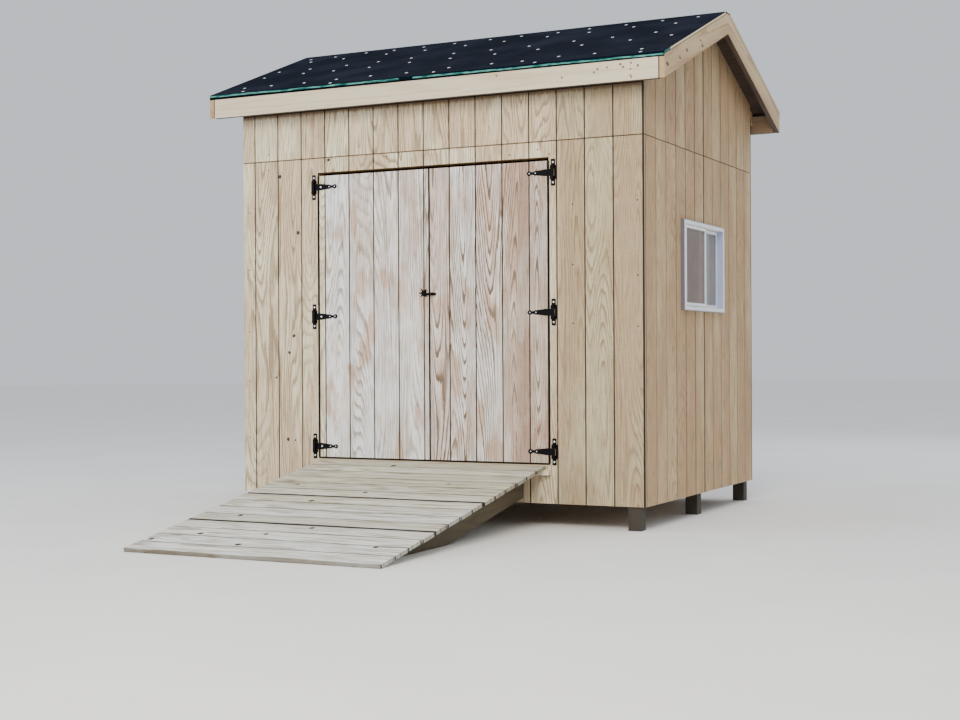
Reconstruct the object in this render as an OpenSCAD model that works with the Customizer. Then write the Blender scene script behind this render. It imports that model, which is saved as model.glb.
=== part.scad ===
// Small timber shed with double doors, a side window and a boarded ramp, in millimetres.
// +X is to the right along the door wall, +Y to the back and +Z up.
// The origin is at floor level, in the middle of the footprint with the ramp.

/* [Walls] */
// Width over the front siding
wall_w = 3167; // [2700:1:3600]
// Depth from the front siding to the back siding
wall_d = 2440; // [2100:1:3000]
// Thickness of the grooved siding
siding_t = 15.9; // [10:0.1:22]
// Height of one siding sheet
sheet_h = 2438; // [2400:1:2600]
// Open joint between the sheets and the pieces above them
sheet_gap = 4; // [2:0.5:8]
// Distance between siding grooves
groove_pitch = 203.2; // [100:0.1:305]
// Width of a groove
groove_w = 9.5; // [6:0.5:14]
// Depth of a groove
groove_d = 6.4; // [3:0.1:8]
// Depth of the groove where two sheets lap
lap_d = 11; // [8:0.1:14]
// Shiplap lip that shows at the right end of the front wall
lip_w = 14; // [8:1:20]
// Lower edge of the siding above the ground
siding_z = 160; // [100:1:300]
// Face of a sawn stud, rafter or plate
stud_w = 89; // [80:1:100]
// Thickness of a sawn stud, joist, rafter or plate
stud_t = 38; // [30:1:50]
// Distance between studs and between rafters
stud_pitch = 610; // [400:1:700]
// Place of the stud left of the doorway, as a share of the way to the left end
left_stud_share = 0.65; // [0.4:0.01:0.7]
// Place of the stud right of the doorway, as a share of the way to the right end
right_stud_share = 0.25; // [0.25:0.01:0.7]

/* [Floor] */
// Floor surface above the lower edge of the siding
floor_rise = 262; // [250:1:320]
// Thickness of the floor sheet
deck_t = 19; // [15:1:25]
// Height of the floor joists
joist_h = 140; // [120:1:145]
// Side of a square post and of the beams on the posts
post_w = 89; // [75:1:100]
// Distance from the side siding's outer face to the corner posts
post_inset = 40; // [30:1:80]
// Distance between the joists
joist_pitch = 406; // [300:1:610]

/* [Doors] */
// Width of the doorway
doorway_w = 1833; // [1500:1:1900]
// Doorway centre from the middle of the shed
doorway_x = -13.5; // [-60:0.5:60]
// Height of the siding between the doorway and the sheets' upper edge
over_door_h = 105; // [60:1:240]
// Gap between a leaf and the side of the doorway
leaf_side_gap = 10; // [6:0.5:12]
// Gap between the two leaves
leaf_mid_gap = 10; // [8:0.5:14]
// Gap over the leaves
leaf_top_gap = 25; // [8:1:30]
// Gap under the leaves
leaf_foot_gap = 7; // [6:0.5:12]
// Setback of the frame on a leaf's back from the leaf's upright edges
leaf_frame_setback = 12; // [8:1:25]
// Setback of that frame from the leaf's top and foot
leaf_frame_rise = 6; // [2:1:20]

/* [Hinges] */
// Height of a hinge plate
plate_h = 180; // [140:1:220]
// Width of a hinge plate at its ends
plate_end_w = 30; // [24:1:36]
// Width of a hinge plate beside its barrel
plate_mid_w = 46; // [36:1:50]
// Thickness of the plates and straps
plate_t = 3; // [2:0.5:4]
// Radius of the barrel
barrel_r = 8; // [6:0.5:10]
// Height of the barrel
barrel_h = 88; // [70:1:110]
// Height of the slope from a plate's end up to its wide middle
plate_shoulder_h = 8; // [4:1:20]
// Stand-off of the barrel from the wall
barrel_gap = 1; // [0.5:0.5:2]
// Radius of the hinge pin
pin_r = 4; // [3:0.5:5]
// Reach of the pin out of each end of the barrel
pin_end = 3; // [1:0.5:6]
// Clearance between the strap's knuckle and the plate's knuckles
knuckle_gap = 1; // [0.5:0.1:2]
// Running clearance of the pin in the strap's knuckle
pin_fit = 0.08; // [0.05:0.01:0.1]
// Height of the strap at its knuckle
strap_root_h = 46; // [34:1:50]
// Radius of the round lobe at a strap's tip
strap_lobe_r = 16; // [9:0.5:18]
// Height of a strap where its taper meets the first lobe
strap_taper_h = 28; // [18:1:34]
// Height of a strap's neck between its lobes
strap_neck_h = 18; // [8:1:20]
// Distance between the two lobes of a strap
strap_lobe_pitch = 47; // [32:1:60]
// Reach of a strap from the pin to its tip
strap_reach = 193; // [150:1:240]
// Distance from the edge of the doorway out to the pin
pin_out = 32; // [28:1:50]
// Height of a strap's middle below the top and above the foot of its leaf
strap_inset = 80; // [70:1:120]

/* [Latch] */
// Middle of the latch above the foot of the leaf
latch_z = 1170; // [900:1:1300]
// Middle of the latch from the leaf's meeting edge
latch_inset = 36; // [30:1:50]
// Width of the latch body
latch_w = 32; // [26:1:44]
// Height of the latch body
latch_h = 38; // [28:1:50]
// Radius of the round housing on the latch body
latch_housing_r = 14; // [10:1:16]
// Length of the three prongs of the latch plate
latch_prong = 24; // [12:1:34]
// Width of a prong at its root
latch_prong_w = 14; // [8:1:20]
// Angle of the upper prong above level
latch_prong_rise = 52; // [30:1:60]
// Angle of the lower prong below level
latch_prong_fall = 42; // [30:1:60]
// Side of the two square ears of the latch plate
latch_ear = 13; // [8:1:18]
// Thickness of the latch plate
latch_plate_t = 4; // [3:0.5:6]
// Reach of the latch out of the leaf
latch_out = 22; // [16:1:34]
// Height of the bar
latch_bar_h = 16; // [10:1:20]
// Setback of the bar from the front of the latch
latch_bar_setback = 4; // [2:0.5:8]
// Middle of the bar below the middle of the latch
latch_bar_drop = 8; // [0:1:10]
// Reach of the latch bar onto the right leaf
latch_reach = 50; // [40:1:70]
// Width of the staple that holds the end of the bar
staple_w = 16; // [10:1:24]
// Thickness of the staple around the bar
staple_t = 3; // [2:0.5:5]

/* [Roof] */
// Slope of the roof in degrees
roof_pitch = 21.3; // [15:0.1:30]
// Gable walls to the outer faces of the rake boards
gable_overhang = 195; // [100:1:300]
// Front and back walls to the outer faces of the fascias
eave_overhang = 145; // [100:1:250]
// Lower edge of the fascias above the sheets' upper edge
eave_rise = 330; // [300:1:560]
// Thickness of the fascias and rake boards
trim_t = 38; // [19:1:40]
// Height of the fascias and rake boards
trim_h = 140; // [130:1:185]
// Open joint between the ends of a fascia and the rake boards
fascia_gap = 3; // [0:0.5:6]
// Height of the ridge board
ridge_h = 140; // [120:1:185]
// Thickness of the roof sheets
sheathing_t = 18; // [9:0.5:22]
// Thickness of the roofing felt
felt_t = 2.5; // [1.5:0.5:4]
// Height of the felt hem that is turned down at the eaves
felt_hem = 31; // [24:1:48]

/* [Window] */
// Width of the window frame
window_w = 914; // [600:1:1000]
// Height of the window frame
window_h = 636; // [450:1:800]
// Front siding's outer face to the window frame
window_y = 728; // [600:1:900]
// Lower edge of the window frame above the lower edge of the siding
window_rise = 1308; // [1000:1:1400]
// Width of the frame members
window_frame_w = 30; // [25:1:45]
// Width of the sash members
window_sash_w = 26; // [22:1:40]
// Reach of the window frame out of the wall
window_out = 27; // [15:1:35]
// Depth of the window frame from outside to inside
window_depth = 90; // [80:1:100]
// Clearance around the window frame
window_gap = 3; // [2:0.5:6]
// Thickness of a sash
sash_t = 24; // [18:1:30]
// Thickness of a pane
pane_t = 5; // [3:0.5:8]
// Setback of the outer sash from the frame's face
sash_setback = 3; // [3:1:14]
// Reach of each sash past the middle of the window
sash_lap = 34; // [24:1:45]
// Distance between the two sashes
track_gap = 18; // [3:1:20]

/* [Ramp] */
// Width of the ramp boards, end to end
ramp_w = 1770; // [1500:1:1820]
// Number of ramp boards
ramp_boards = 14; // [10:1:18]
// Width of one ramp board
ramp_board_w = 152; // [120:1:160]
// Thickness of a ramp board
ramp_board_t = 25; // [20:1:38]
// Joint between ramp boards
ramp_board_gap = 9; // [3:0.5:12]
// Top of the ramp below the floor surface
ramp_drop = 6; // [3:1:40]
// Most that the end of a ramp board stands out of line
ramp_stagger = 3; // [0:0.5:8]
// Reach of the ledger past each side of the doorway
ledger_past = 4.5; // [0:0.5:60]
// Reach of the ledger out of the wall
ledger_t = 38; // [25:1:60]
// Height of the ledger
ledger_h = 38; // [30:1:89]
// Height of the bearers under the ramp boards
bearer_h = 184; // [89:1:200]
// Number of bearers
bearers = 4; // [3:1:6]
// Setback of the outer bearers from the ends of the boards
bearer_inset = 150; // [10:1:200]

/* [Hidden] */
$fn = 48;
face_gap = 0.3;
// Rounds down to a tenth of a millimetre, so that pieces that share the value meet face to face
function tenth(v) = floor(10 * v) / 10;
side_x = wall_w / 2;
frame_x = side_x - siding_t;
floor_z = siding_z + floor_rise;
sheet_top_z = siding_z + sheet_h;
upper_z = sheet_top_z + sheet_gap;
sheet_grooves = 6;
board_turn = 137;

ramp_top_z = floor_z - ramp_drop;
ramp_len = ramp_boards * ramp_board_w + (ramp_boards - 1) * ramp_board_gap;
ramp_angle = asin(ramp_top_z / norm([ramp_len, ramp_board_t])) - atan2(ramp_board_t, ramp_len);
ramp_head_y = ramp_board_t * sin(ramp_angle);
ledger_w = doorway_w + 2 * ledger_past;
front_reach = ramp_head_y + ramp_len * cos(ramp_angle);
back_reach = wall_d + eave_overhang + felt_t;
front_y = round((front_reach - back_reach) / 2);
back_y = front_y + wall_d;
ridge_y = front_y + wall_d / 2;
frame_front_y = front_y + siding_t;
frame_back_y = back_y - siding_t;
room_front_y = frame_front_y + stud_w;
room_back_y = frame_back_y - stud_w;

roof_run = wall_d / 2 + eave_overhang;
ridge_slot = sheathing_t / sin(roof_pitch);
trim_plumb = trim_h / cos(roof_pitch);
rafter_plumb = stud_w / cos(roof_pitch);
trim_z = sheet_top_z + eave_rise;
eave_under_z = trim_z + trim_plumb;
ridge_under_z = eave_under_z + roof_run * tan(roof_pitch);
// Underside of the roof sheets at a distance from the ridge
function under_z(run) = ridge_under_z - run * tan(roof_pitch);
// The same line raised square to the slope by a height
function over_z(run, height) = under_z(run) + height / cos(roof_pitch);
rafter_foot_z = under_z(wall_d / 2) - rafter_plumb;
plate_top_z = tenth(under_z(wall_d / 2 - siding_t - stud_w) - rafter_plumb);
wall_top_z = tenth(rafter_foot_z);
ridge_top_z = tenth(under_z(stud_t / 2));
stud_top_z = plate_top_z - 2 * stud_t;
roof_x = side_x + gable_overhang;

doorway_left = doorway_x - doorway_w / 2;
doorway_right = doorway_x + doorway_w / 2;
leaf_z = floor_z + leaf_foot_gap;
leaf_h = sheet_h - floor_rise - leaf_foot_gap - leaf_top_gap - over_door_h;
doorway_top_z = leaf_z + leaf_h + leaf_top_gap;
leaf_w = (doorway_w - 2 * leaf_side_gap - leaf_mid_gap) / 2;
left_leaf_x = doorway_left + leaf_side_gap;
right_leaf_x = doorway_right - leaf_side_gap - leaf_w;
pin_y = front_y - barrel_r - barrel_gap;
left_pin_x = doorway_left - pin_out;
strap_zs = [leaf_z + strap_inset, leaf_z + leaf_h / 2, leaf_z + leaf_h - strap_inset];

window_z = siding_z + window_rise;
window_front_y = front_y + window_y;
window_back_y = window_front_y + window_w;
window_top_z = window_z + window_h;
hole_front_y = window_front_y - window_gap;
hole_back_y = window_back_y + window_gap;
hole_top_z = window_top_z + window_gap;
sash_mid_y = (window_front_y + window_back_y) / 2;
outer_sash_x = side_x + window_out - sash_setback - sash_t;
inner_sash_x = outer_sash_x - track_gap - sash_t;
sash_z0 = window_z + window_frame_w;
sash_z1 = window_top_z - window_frame_w;
sash_y0 = window_front_y + window_frame_w;
sash_y1 = window_back_y - window_frame_w;

// Box between two corners
module span(a, b) {
    translate(a)
        cube(b - a);
}

// Depth of the k-th groove from a sheet's edge: deeper where two sheets lap
function groove_depth(k) = k > 0 && k % sheet_grooves == 0 ? lap_d : groove_d;

// Grooved siding facing -Y, from x0 to x1, with the grooves on the front wall's grid
module front_siding(x0, x1, z0, z1) {
    difference() {
        span([x0, front_y, z0], [x1, front_y + siding_t, z1]);
        for (k = [1 : floor(wall_w / groove_pitch)]) {
            x = side_x - lip_w - k * groove_pitch;
            if (x - groove_w > x0 && x + groove_w < x1)
                span([x - groove_w / 2, front_y - 1, z0 - 1],
                    [x + groove_w / 2, front_y + groove_depth(k), z1 + 1]);
        }
        span([side_x - lip_w, front_y - 1, z0 - 1], [side_x + 1, front_y + groove_d, z1 + 1]);
    }
}

// Groove cuts for the right wall's siding
module side_grooves(y0, y1, z0, z1) {
    for (k = [0 : floor(wall_d / groove_pitch)]) {
        y = frame_front_y + k * groove_pitch;
        if (y - groove_w > y0 && y + groove_w < y1)
            span([side_x - groove_depth(k), y - groove_w / 2, z0 - 1],
                [side_x + 1, y + groove_w / 2, z1 + 1]);
    }
}

// Grooved siding facing +X, between the ends of the front and back siding
module side_siding(y0, y1, z0, z1) {
    difference() {
        span([frame_x, y0, z0], [side_x, y1, z1]);
        side_grooves(y0, y1, z0, z1);
    }
}

// Gable siding facing +X, up to the underside of the roof sheets, notched round the ridge board
module gable_siding() {
    half = wall_d / 2 - siding_t;
    difference() {
        translate([frame_x, ridge_y, 0])
            rotate([90, 0, 90])
                linear_extrude(siding_t)
                    polygon([[-half, upper_z], [half, upper_z], [half, under_z(half)],
                        [0, ridge_under_z], [-half, under_z(half)]]);
        side_grooves(frame_front_y, frame_back_y, upper_z, ridge_under_z);
        span([frame_x - 1, ridge_y - stud_t / 2 - face_gap, ridge_top_z - ridge_h - face_gap],
            [side_x + 1, ridge_y + stud_t / 2 + face_gap, ridge_under_z + 1]);
    }
}

module posts() {
    xs = [-side_x + post_inset, -post_w / 2, side_x - post_inset - post_w];
    ys = [frame_front_y, ridge_y - post_w / 2, frame_back_y - post_w];
    color("tan")
        for (x = xs, y = ys)
            span([x, y, 0], [x + post_w, y + post_w, floor_z - deck_t - joist_h - post_w]);
}

module floor_beams() {
    z = floor_z - deck_t - joist_h - post_w;
    color("burlywood")
        for (y = [frame_front_y, ridge_y - post_w / 2, frame_back_y - post_w])
            span([-frame_x, y, z], [frame_x, y + post_w, z + post_w]);
}

module floor_joists() {
    z = floor_z - deck_t - joist_h;
    inner = frame_x - stud_t;
    count = ceil(2 * inner / joist_pitch);
    step = (2 * inner + stud_t) / count;
    color("burlywood") {
        for (y = [frame_front_y, frame_back_y - stud_t])
            span([-frame_x, y, z], [frame_x, y + stud_t, z + joist_h]);
        for (k = [0 : count])
            translate([-frame_x + k * step, frame_front_y + stud_t + face_gap, z])
                cube([stud_t, frame_back_y - frame_front_y - 2 * stud_t - 2 * face_gap, joist_h]);
    }
}

module floor_deck() {
    color("wheat")
        span([-frame_x, frame_front_y, floor_z - deck_t], [frame_x, frame_back_y, floor_z]);
}

// Strip of floor that closes the doorway's foot, flush with the siding
module threshold() {
    color("wheat")
        span([doorway_left, front_y, floor_z - deck_t], [doorway_right, frame_front_y, floor_z]);
}

module front_wall_left() {
    color("burlywood")
        front_siding(-side_x, doorway_left, siding_z, sheet_top_z);
}

module front_wall_right() {
    color("burlywood")
        front_siding(doorway_right, side_x, siding_z, sheet_top_z);
}

module front_wall_over_door() {
    color("burlywood")
        front_siding(doorway_left, doorway_right, doorway_top_z, sheet_top_z);
}

module front_wall_under_door() {
    color("burlywood")
        front_siding(doorway_left, doorway_right, siding_z, floor_z - deck_t);
}

module front_wall_upper() {
    color("burlywood")
        front_siding(-side_x, side_x, upper_z, wall_top_z);
}

module right_wall_front() {
    color("burlywood")
        side_siding(frame_front_y, hole_front_y, siding_z, sheet_top_z);
}

module right_wall_back() {
    color("burlywood")
        side_siding(hole_back_y, frame_back_y, siding_z, sheet_top_z);
}

module right_wall_over_window() {
    color("burlywood")
        side_siding(hole_front_y, hole_back_y, hole_top_z, sheet_top_z);
}

module right_wall_under_window() {
    color("burlywood")
        side_siding(hole_front_y, hole_back_y, siding_z, window_z);
}

module right_gable() {
    color("burlywood")
        gable_siding();
}

module left_wall() {
    color("burlywood")
        mirror([1, 0, 0])
            side_siding(frame_front_y, frame_back_y, siding_z, sheet_top_z);
}

module left_gable() {
    color("burlywood")
        mirror([1, 0, 0])
            gable_siding();
}

// Turns a piece of the front wall half round the middle of the shed
module at_back() {
    translate([0, 2 * ridge_y, 0])
        rotate([0, 0, 180])
            children();
}

module back_wall() {
    color("burlywood")
        at_back()
            front_siding(-side_x, side_x, siding_z, sheet_top_z);
}

module back_wall_upper() {
    color("burlywood")
        at_back()
            front_siding(-side_x, side_x, upper_z, wall_top_z);
}

// Standing piece of a front or back wall frame, with its left face at x, between z0 and z1
module stud(x, z0, z1) {
    span([x, frame_front_y, z0 + face_gap], [x + stud_t, room_front_y, z1 - face_gap]);
}

module front_framing() {
    head_z = doorway_top_z + stud_w + stud_t;
    plate_z = floor_z + stud_t;
    jacks = [doorway_left - stud_t, doorway_right];
    kings = [doorway_left - 2 * stud_t - face_gap, doorway_right + stud_t + face_gap];
    between = [doorway_left - left_stud_share * (side_x + doorway_left) - stud_t / 2,
        doorway_right + right_stud_share * (side_x - doorway_right) - stud_t / 2];
    color("burlywood") {
        span([-frame_x, frame_front_y, floor_z], [doorway_left, room_front_y, plate_z]);
        span([doorway_right, frame_front_y, floor_z], [frame_x, room_front_y, plate_z]);
        span([-frame_x, frame_front_y, stud_top_z], [frame_x, room_front_y, plate_top_z]);
        for (x = concat([-frame_x, frame_x - stud_t], kings, between))
            stud(x, plate_z, stud_top_z);
        for (x = jacks)
            stud(x, plate_z, doorway_top_z);
        span([doorway_left - stud_t, frame_front_y, doorway_top_z],
            [doorway_right + stud_t, room_front_y, head_z]);
        for (k = [1 : floor(doorway_w / stud_pitch)])
            stud(doorway_left + k * stud_pitch - stud_t / 2, head_z, stud_top_z);
    }
}

module back_framing() {
    bays = ceil(2 * frame_x / stud_pitch);
    step = (2 * frame_x - stud_t) / bays;
    color("burlywood")
        at_back() {
            span([-frame_x, frame_front_y, floor_z], [frame_x, room_front_y, floor_z + stud_t]);
            span([-frame_x, frame_front_y, stud_top_z], [frame_x, room_front_y, plate_top_z]);
            for (k = [0 : bays])
                stud(-frame_x + k * step, floor_z + stud_t, stud_top_z);
        }
}

// Piece of the right wall's frame from y0 to y1 and from z0 to z1
module side_piece(y0, y1, z0, z1) {
    span([frame_x - stud_w, y0, z0], [frame_x, y1, z1]);
}

// Stud of the right wall's frame with its front face at y, between the plates
module side_stud(y) {
    side_piece(y, y + stud_t, floor_z + stud_t + face_gap, stud_top_z - face_gap);
}

// Bottom and top plates, corner studs and gable studs of a side wall frame, on the right
module side_frame_edges() {
    side_piece(room_front_y, room_back_y, floor_z, floor_z + stud_t);
    side_piece(room_front_y, room_back_y, stud_top_z, plate_top_z);
    side_stud(room_front_y);
    side_stud(room_back_y - stud_t);
    for (run = [-stud_pitch, stud_pitch])
        side_piece(ridge_y + run - stud_t / 2, ridge_y + run + stud_t / 2, plate_top_z + face_gap,
            under_z(stud_pitch + stud_t / 2) - rafter_plumb - face_gap);
    side_piece(ridge_y - stud_t / 2, ridge_y + stud_t / 2, plate_top_z + face_gap,
        ridge_top_z - ridge_h - face_gap);
}

module side_framing() {
    color("burlywood") {
        side_frame_edges();
        side_stud(hole_front_y - stud_t);
        side_stud(hole_back_y);
        side_piece(hole_front_y + face_gap, hole_back_y - face_gap, window_z - stud_t, window_z);
        side_piece(hole_front_y + face_gap, hole_back_y - face_gap, hole_top_z, hole_top_z + stud_w);
        mirror([1, 0, 0]) {
            side_frame_edges();
            for (run = [-stud_pitch, 0, stud_pitch])
                side_stud(ridge_y + run - stud_t / 2);
        }
    }
}

// One rafter of the front slope, with its left face at x, seated on the wall plate
module rafter(x) {
    seat = wall_d / 2 - siding_t;
    inner = seat - stud_w;
    foot = roof_run - trim_t;
    head = stud_t / 2;
    translate([x, ridge_y, 0])
        rotate([90, 0, 90])
            linear_extrude(stud_t)
                polygon([[-foot, under_z(foot)], [-head, under_z(head)],
                    [-head, under_z(head) - rafter_plumb], [-inner, plate_top_z], [-seat, plate_top_z],
                    [-seat, under_z(seat) - rafter_plumb], [-foot, under_z(foot) - rafter_plumb]]);
}

module rafters() {
    bays = ceil(2 * frame_x / stud_pitch);
    step = (2 * frame_x - stud_t) / bays;
    color("burlywood")
        for (k = [0 : bays]) {
            rafter(-frame_x + k * step);
            translate([0, 2 * ridge_y, 0])
                mirror([0, 1, 0])
                    rafter(-frame_x + k * step);
        }
}

module ridge_board() {
    color("burlywood")
        span([-roof_x + trim_t, ridge_y - stud_t / 2, ridge_top_z - ridge_h],
            [roof_x - trim_t, ridge_y + stud_t / 2, ridge_top_z]);
}

// One slope's share of a roof layer, from height to height + t above the rafters and out to reach.
// It stops short of the ridge, where the top of the sheets is level with it
module slope_layer(side, height, t, reach) {
    translate([-roof_x, ridge_y, 0])
        rotate([90, 0, 90])
            linear_extrude(2 * roof_x)
                polygon([[side * ridge_slot, over_z(ridge_slot, height)],
                    [side * reach, over_z(reach, height)], [side * reach, over_z(reach, height + t)],
                    [side * ridge_slot, over_z(ridge_slot, height + t)]]);
}

module roof_sheathing() {
    color("tan")
        for (side = [-1, 1])
            slope_layer(side, face_gap, sheathing_t, roof_run);
}

// Felt on both slopes, level over the slot at the ridge and turned down at the eaves
module roof_felt() {
    reach = roof_run + felt_t;
    base = sheathing_t + 2 * face_gap;
    half = ridge_slot - face_gap;
    fold_z = over_z(reach, base) - face_gap;
    color("midnightblue") {
        for (side = [-1, 1])
            slope_layer(side, base, felt_t, reach);
        span([-roof_x, ridge_y - half, over_z(ridge_slot, base)],
            [roof_x, ridge_y + half, over_z(ridge_slot, base + felt_t)]);
        for (y = [ridge_y - reach, ridge_y + roof_run])
            span([-roof_x, y, fold_z - felt_hem], [roof_x, y + felt_t, fold_z]);
    }
}

module front_fascia() {
    y = front_y - eave_overhang;
    half = roof_x - trim_t - fascia_gap;
    color("wheat")
        span([-half, y, trim_z], [half, y + trim_t, trim_z + trim_h]);
}

module back_fascia() {
    color("wheat")
        at_back()
            front_fascia();
}

// Pair of boards along the edge of the right gable, mitred at the ridge, plumb at the eaves
module rake_boards() {
    for (side = [-1, 1])
        translate([roof_x - trim_t, ridge_y, 0])
            rotate([90, 0, 90])
                linear_extrude(trim_t)
                    polygon([[side * face_gap / 2, ridge_under_z], [side * roof_run, under_z(roof_run)],
                        [side * roof_run, under_z(roof_run) - trim_plumb],
                        [side * face_gap / 2, ridge_under_z - trim_plumb]]);
}

module right_rake_boards() {
    color("wheat")
        rake_boards();
}

module left_rake_boards() {
    color("wheat")
        mirror([1, 0, 0])
            rake_boards();
}

// Flat rectangular ring in the right wall's plane, from x0 to x1
module window_ring(x0, x1, y0, y1, z0, z1, member) {
    difference() {
        span([x0, y0, z0], [x1, y1, z1]);
        span([x0 - 1, y0 + member, z0 + member], [x1 + 1, y1 - member, z1 - member]);
    }
}

module window_frame() {
    x1 = side_x + window_out;
    color("white")
        window_ring(x1 - window_depth, x1, window_front_y, window_back_y, window_z, window_top_z,
            window_frame_w);
}

module window_sashes() {
    color("white") {
        window_ring(outer_sash_x, outer_sash_x + sash_t, sash_y0, sash_mid_y + sash_lap,
            sash_z0, sash_z1, window_sash_w);
        window_ring(inner_sash_x, inner_sash_x + sash_t, sash_mid_y - sash_lap, sash_y1,
            sash_z0, sash_z1, window_sash_w);
    }
}

// Pane that fills one sash
module pane(sash_x, y0, y1) {
    span([sash_x + (sash_t - pane_t) / 2, y0, sash_z0 + window_sash_w],
        [sash_x + (sash_t + pane_t) / 2, y1, sash_z1 - window_sash_w]);
}

module window_glass() {
    color("lightblue") {
        pane(outer_sash_x, sash_y0 + window_sash_w, sash_mid_y + sash_lap - window_sash_w);
        pane(inner_sash_x, sash_mid_y - sash_lap + window_sash_w, sash_y1 - window_sash_w);
    }
}

// Cleat under the head of the ramp, bevelled to the slope of the boards
module ramp_ledger() {
    top = ramp_top_z - ramp_board_t * cos(ramp_angle) - face_gap;
    color("wheat")
        translate([doorway_x - ledger_w / 2, front_y, 0])
            rotate([90, 0, 90])
                linear_extrude(ledger_w)
                    polygon([[0, top], [0, top - ledger_h], [-ledger_t, top - ledger_h],
                        [-ledger_t, top - ledger_t * tan(ramp_angle)]]);
}

// Puts its children on the ramp: +Y runs down the slope and z = 0 is the walking surface
module on_ramp() {
    translate([doorway_x, front_y - ramp_head_y, ramp_top_z])
        rotate([-ramp_angle, 0, 180])
            children();
}

module ramp_deck() {
    color("wheat")
        on_ramp()
            for (k = [0 : ramp_boards - 1])
                translate([-ramp_w / 2 + ramp_stagger * sin(k * board_turn),
                    k * (ramp_board_w + ramp_board_gap), -ramp_board_t])
                    cube([ramp_w, ramp_board_w, ramp_board_t]);
}

// Bearers under the ramp boards, cut level where they meet the ground
module ramp_stringers() {
    step = (ramp_w - 2 * bearer_inset - stud_t) / (bearers - 1);
    color("dimgray")
        intersection() {
            on_ramp()
                for (k = [0 : bearers - 1])
                    translate([-ramp_w / 2 + bearer_inset + k * step, -bearer_h, -ramp_board_t - bearer_h])
                        cube([stud_t, ramp_len + bearer_h, bearer_h]);
            span([-side_x, front_y - front_reach, 0], [side_x, front_y - ledger_t, floor_z]);
        }
}

// One side of a hinge plate's outline, from its foot to its head
function plate_side(side) = [
    for (p = [[plate_end_w, -plate_h / 2], [plate_end_w, -barrel_h / 2 - plate_shoulder_h],
            [plate_mid_w, -barrel_h / 2], [plate_mid_w, barrel_h / 2],
            [plate_end_w, barrel_h / 2 + plate_shoulder_h], [plate_end_w, plate_h / 2]])
        [side * p[0] / 2, side * p[1]]];

// Plate of a T-hinge on the wall, with its two knuckles and its pin, at the left door
module hinge_plate(z) {
    slot = strap_root_h / 2 + knuckle_gap;
    translate([left_pin_x, front_y, z]) {
        difference() {
            rotate([90, 0, 0])
                linear_extrude(plate_t)
                    polygon(concat(plate_side(1), plate_side(-1)));
            span([-barrel_r - knuckle_gap, -plate_t - 1, -slot], [plate_mid_w, 1, slot]);
        }
        translate([0, pin_y - front_y, 0]) {
            for (s = [-1, 1])
                translate([0, 0, s * (barrel_h / 2 + slot) / 2])
                    cylinder(h = barrel_h / 2 - slot, r = barrel_r, center = true);
            cylinder(h = barrel_h + 2 * pin_end, r = pin_r, center = true);
        }
    }
}

module hinge_plates() {
    color("black") {
        for (z = strap_zs)
            hinge_plate(z);
        translate([2 * doorway_x, 0, 0])
            mirror([1, 0, 0])
                for (z = strap_zs)
                    hinge_plate(z);
    }
}

// Door siding from x0 to x1 on the same groove grid as the wall
module leaf_panel(x0) {
    front_siding(x0, x0 + leaf_w, leaf_z, leaf_z + leaf_h);
}

// Frame on the back of a leaf: two stiles with three rails between them
module leaf_frame(x0) {
    y0 = front_y + siding_t;
    y1 = y0 + stud_t;
    xa = x0 + leaf_frame_setback;
    xb = x0 + leaf_w - leaf_frame_setback;
    z0 = leaf_z + leaf_frame_rise;
    z1 = leaf_z + leaf_h - leaf_frame_rise;
    color("burlywood") {
        for (x = [xa, xb - stud_w])
            span([x, y0, z0], [x + stud_w, y1, z1]);
        for (z = [z0, (z0 + z1 - stud_w) / 2, z1 - stud_w])
            span([xa + stud_w + face_gap, y0, z], [xb - stud_w - face_gap, y1, z + stud_w]);
    }
}

// Outline of a strap from the pin to its tip: a tapering root and two round lobes
module strap_outline() {
    root = left_leaf_x - left_pin_x + strap_lobe_r;
    tip = strap_reach - strap_lobe_r;
    lobe = tip - strap_lobe_pitch;
    polygon([[0, -strap_root_h / 2], [root, -strap_root_h / 2], [lobe, -strap_taper_h / 2],
        [lobe, strap_taper_h / 2], [root, strap_root_h / 2], [0, strap_root_h / 2]]);
    translate([lobe, -strap_neck_h / 2])
        square([tip - lobe, strap_neck_h]);
    for (x = [lobe, tip])
        translate([x, 0])
            circle(r = strap_lobe_r);
}

// Strap of a T-hinge with its knuckle, at the left door
module hinge_strap(z) {
    difference() {
        translate([left_pin_x, front_y, z]) {
            rotate([90, 0, 0])
                linear_extrude(plate_t)
                    strap_outline();
            translate([0, pin_y - front_y, 0])
                cylinder(h = strap_root_h, r = barrel_r, center = true);
        }
        translate([left_pin_x, pin_y, z])
            cylinder(h = strap_root_h + 2, r = pin_r + pin_fit, center = true);
        span([left_pin_x - 1, front_y - barrel_gap, z - strap_root_h],
            [left_leaf_x, front_y + 1, z + strap_root_h]);
    }
}

module left_door_panel() {
    color("lightgray")
        leaf_panel(left_leaf_x);
}

module left_door_frame() {
    leaf_frame(left_leaf_x);
}

module left_door_straps() {
    color("black")
        for (z = strap_zs)
            hinge_strap(z);
}

// Plate of the latch in the leaf's plane: a block with three pointed prongs and two square ears
module latch_outline() {
    reach = latch_w / 2 + latch_prong;
    square([latch_w, latch_h], center = true);
    for (a = [-latch_prong_rise, 0, latch_prong_fall])
        rotate(180 + a)
            polygon([[0, -latch_prong_w / 2], [reach, -latch_prong_w / 6],
                [reach, latch_prong_w / 6], [0, latch_prong_w / 2]]);
    for (s = [-1, 1])
        translate([latch_w / 2 - latch_ear / 4, s * latch_h / 2])
            square(latch_ear, center = true);
}

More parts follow.
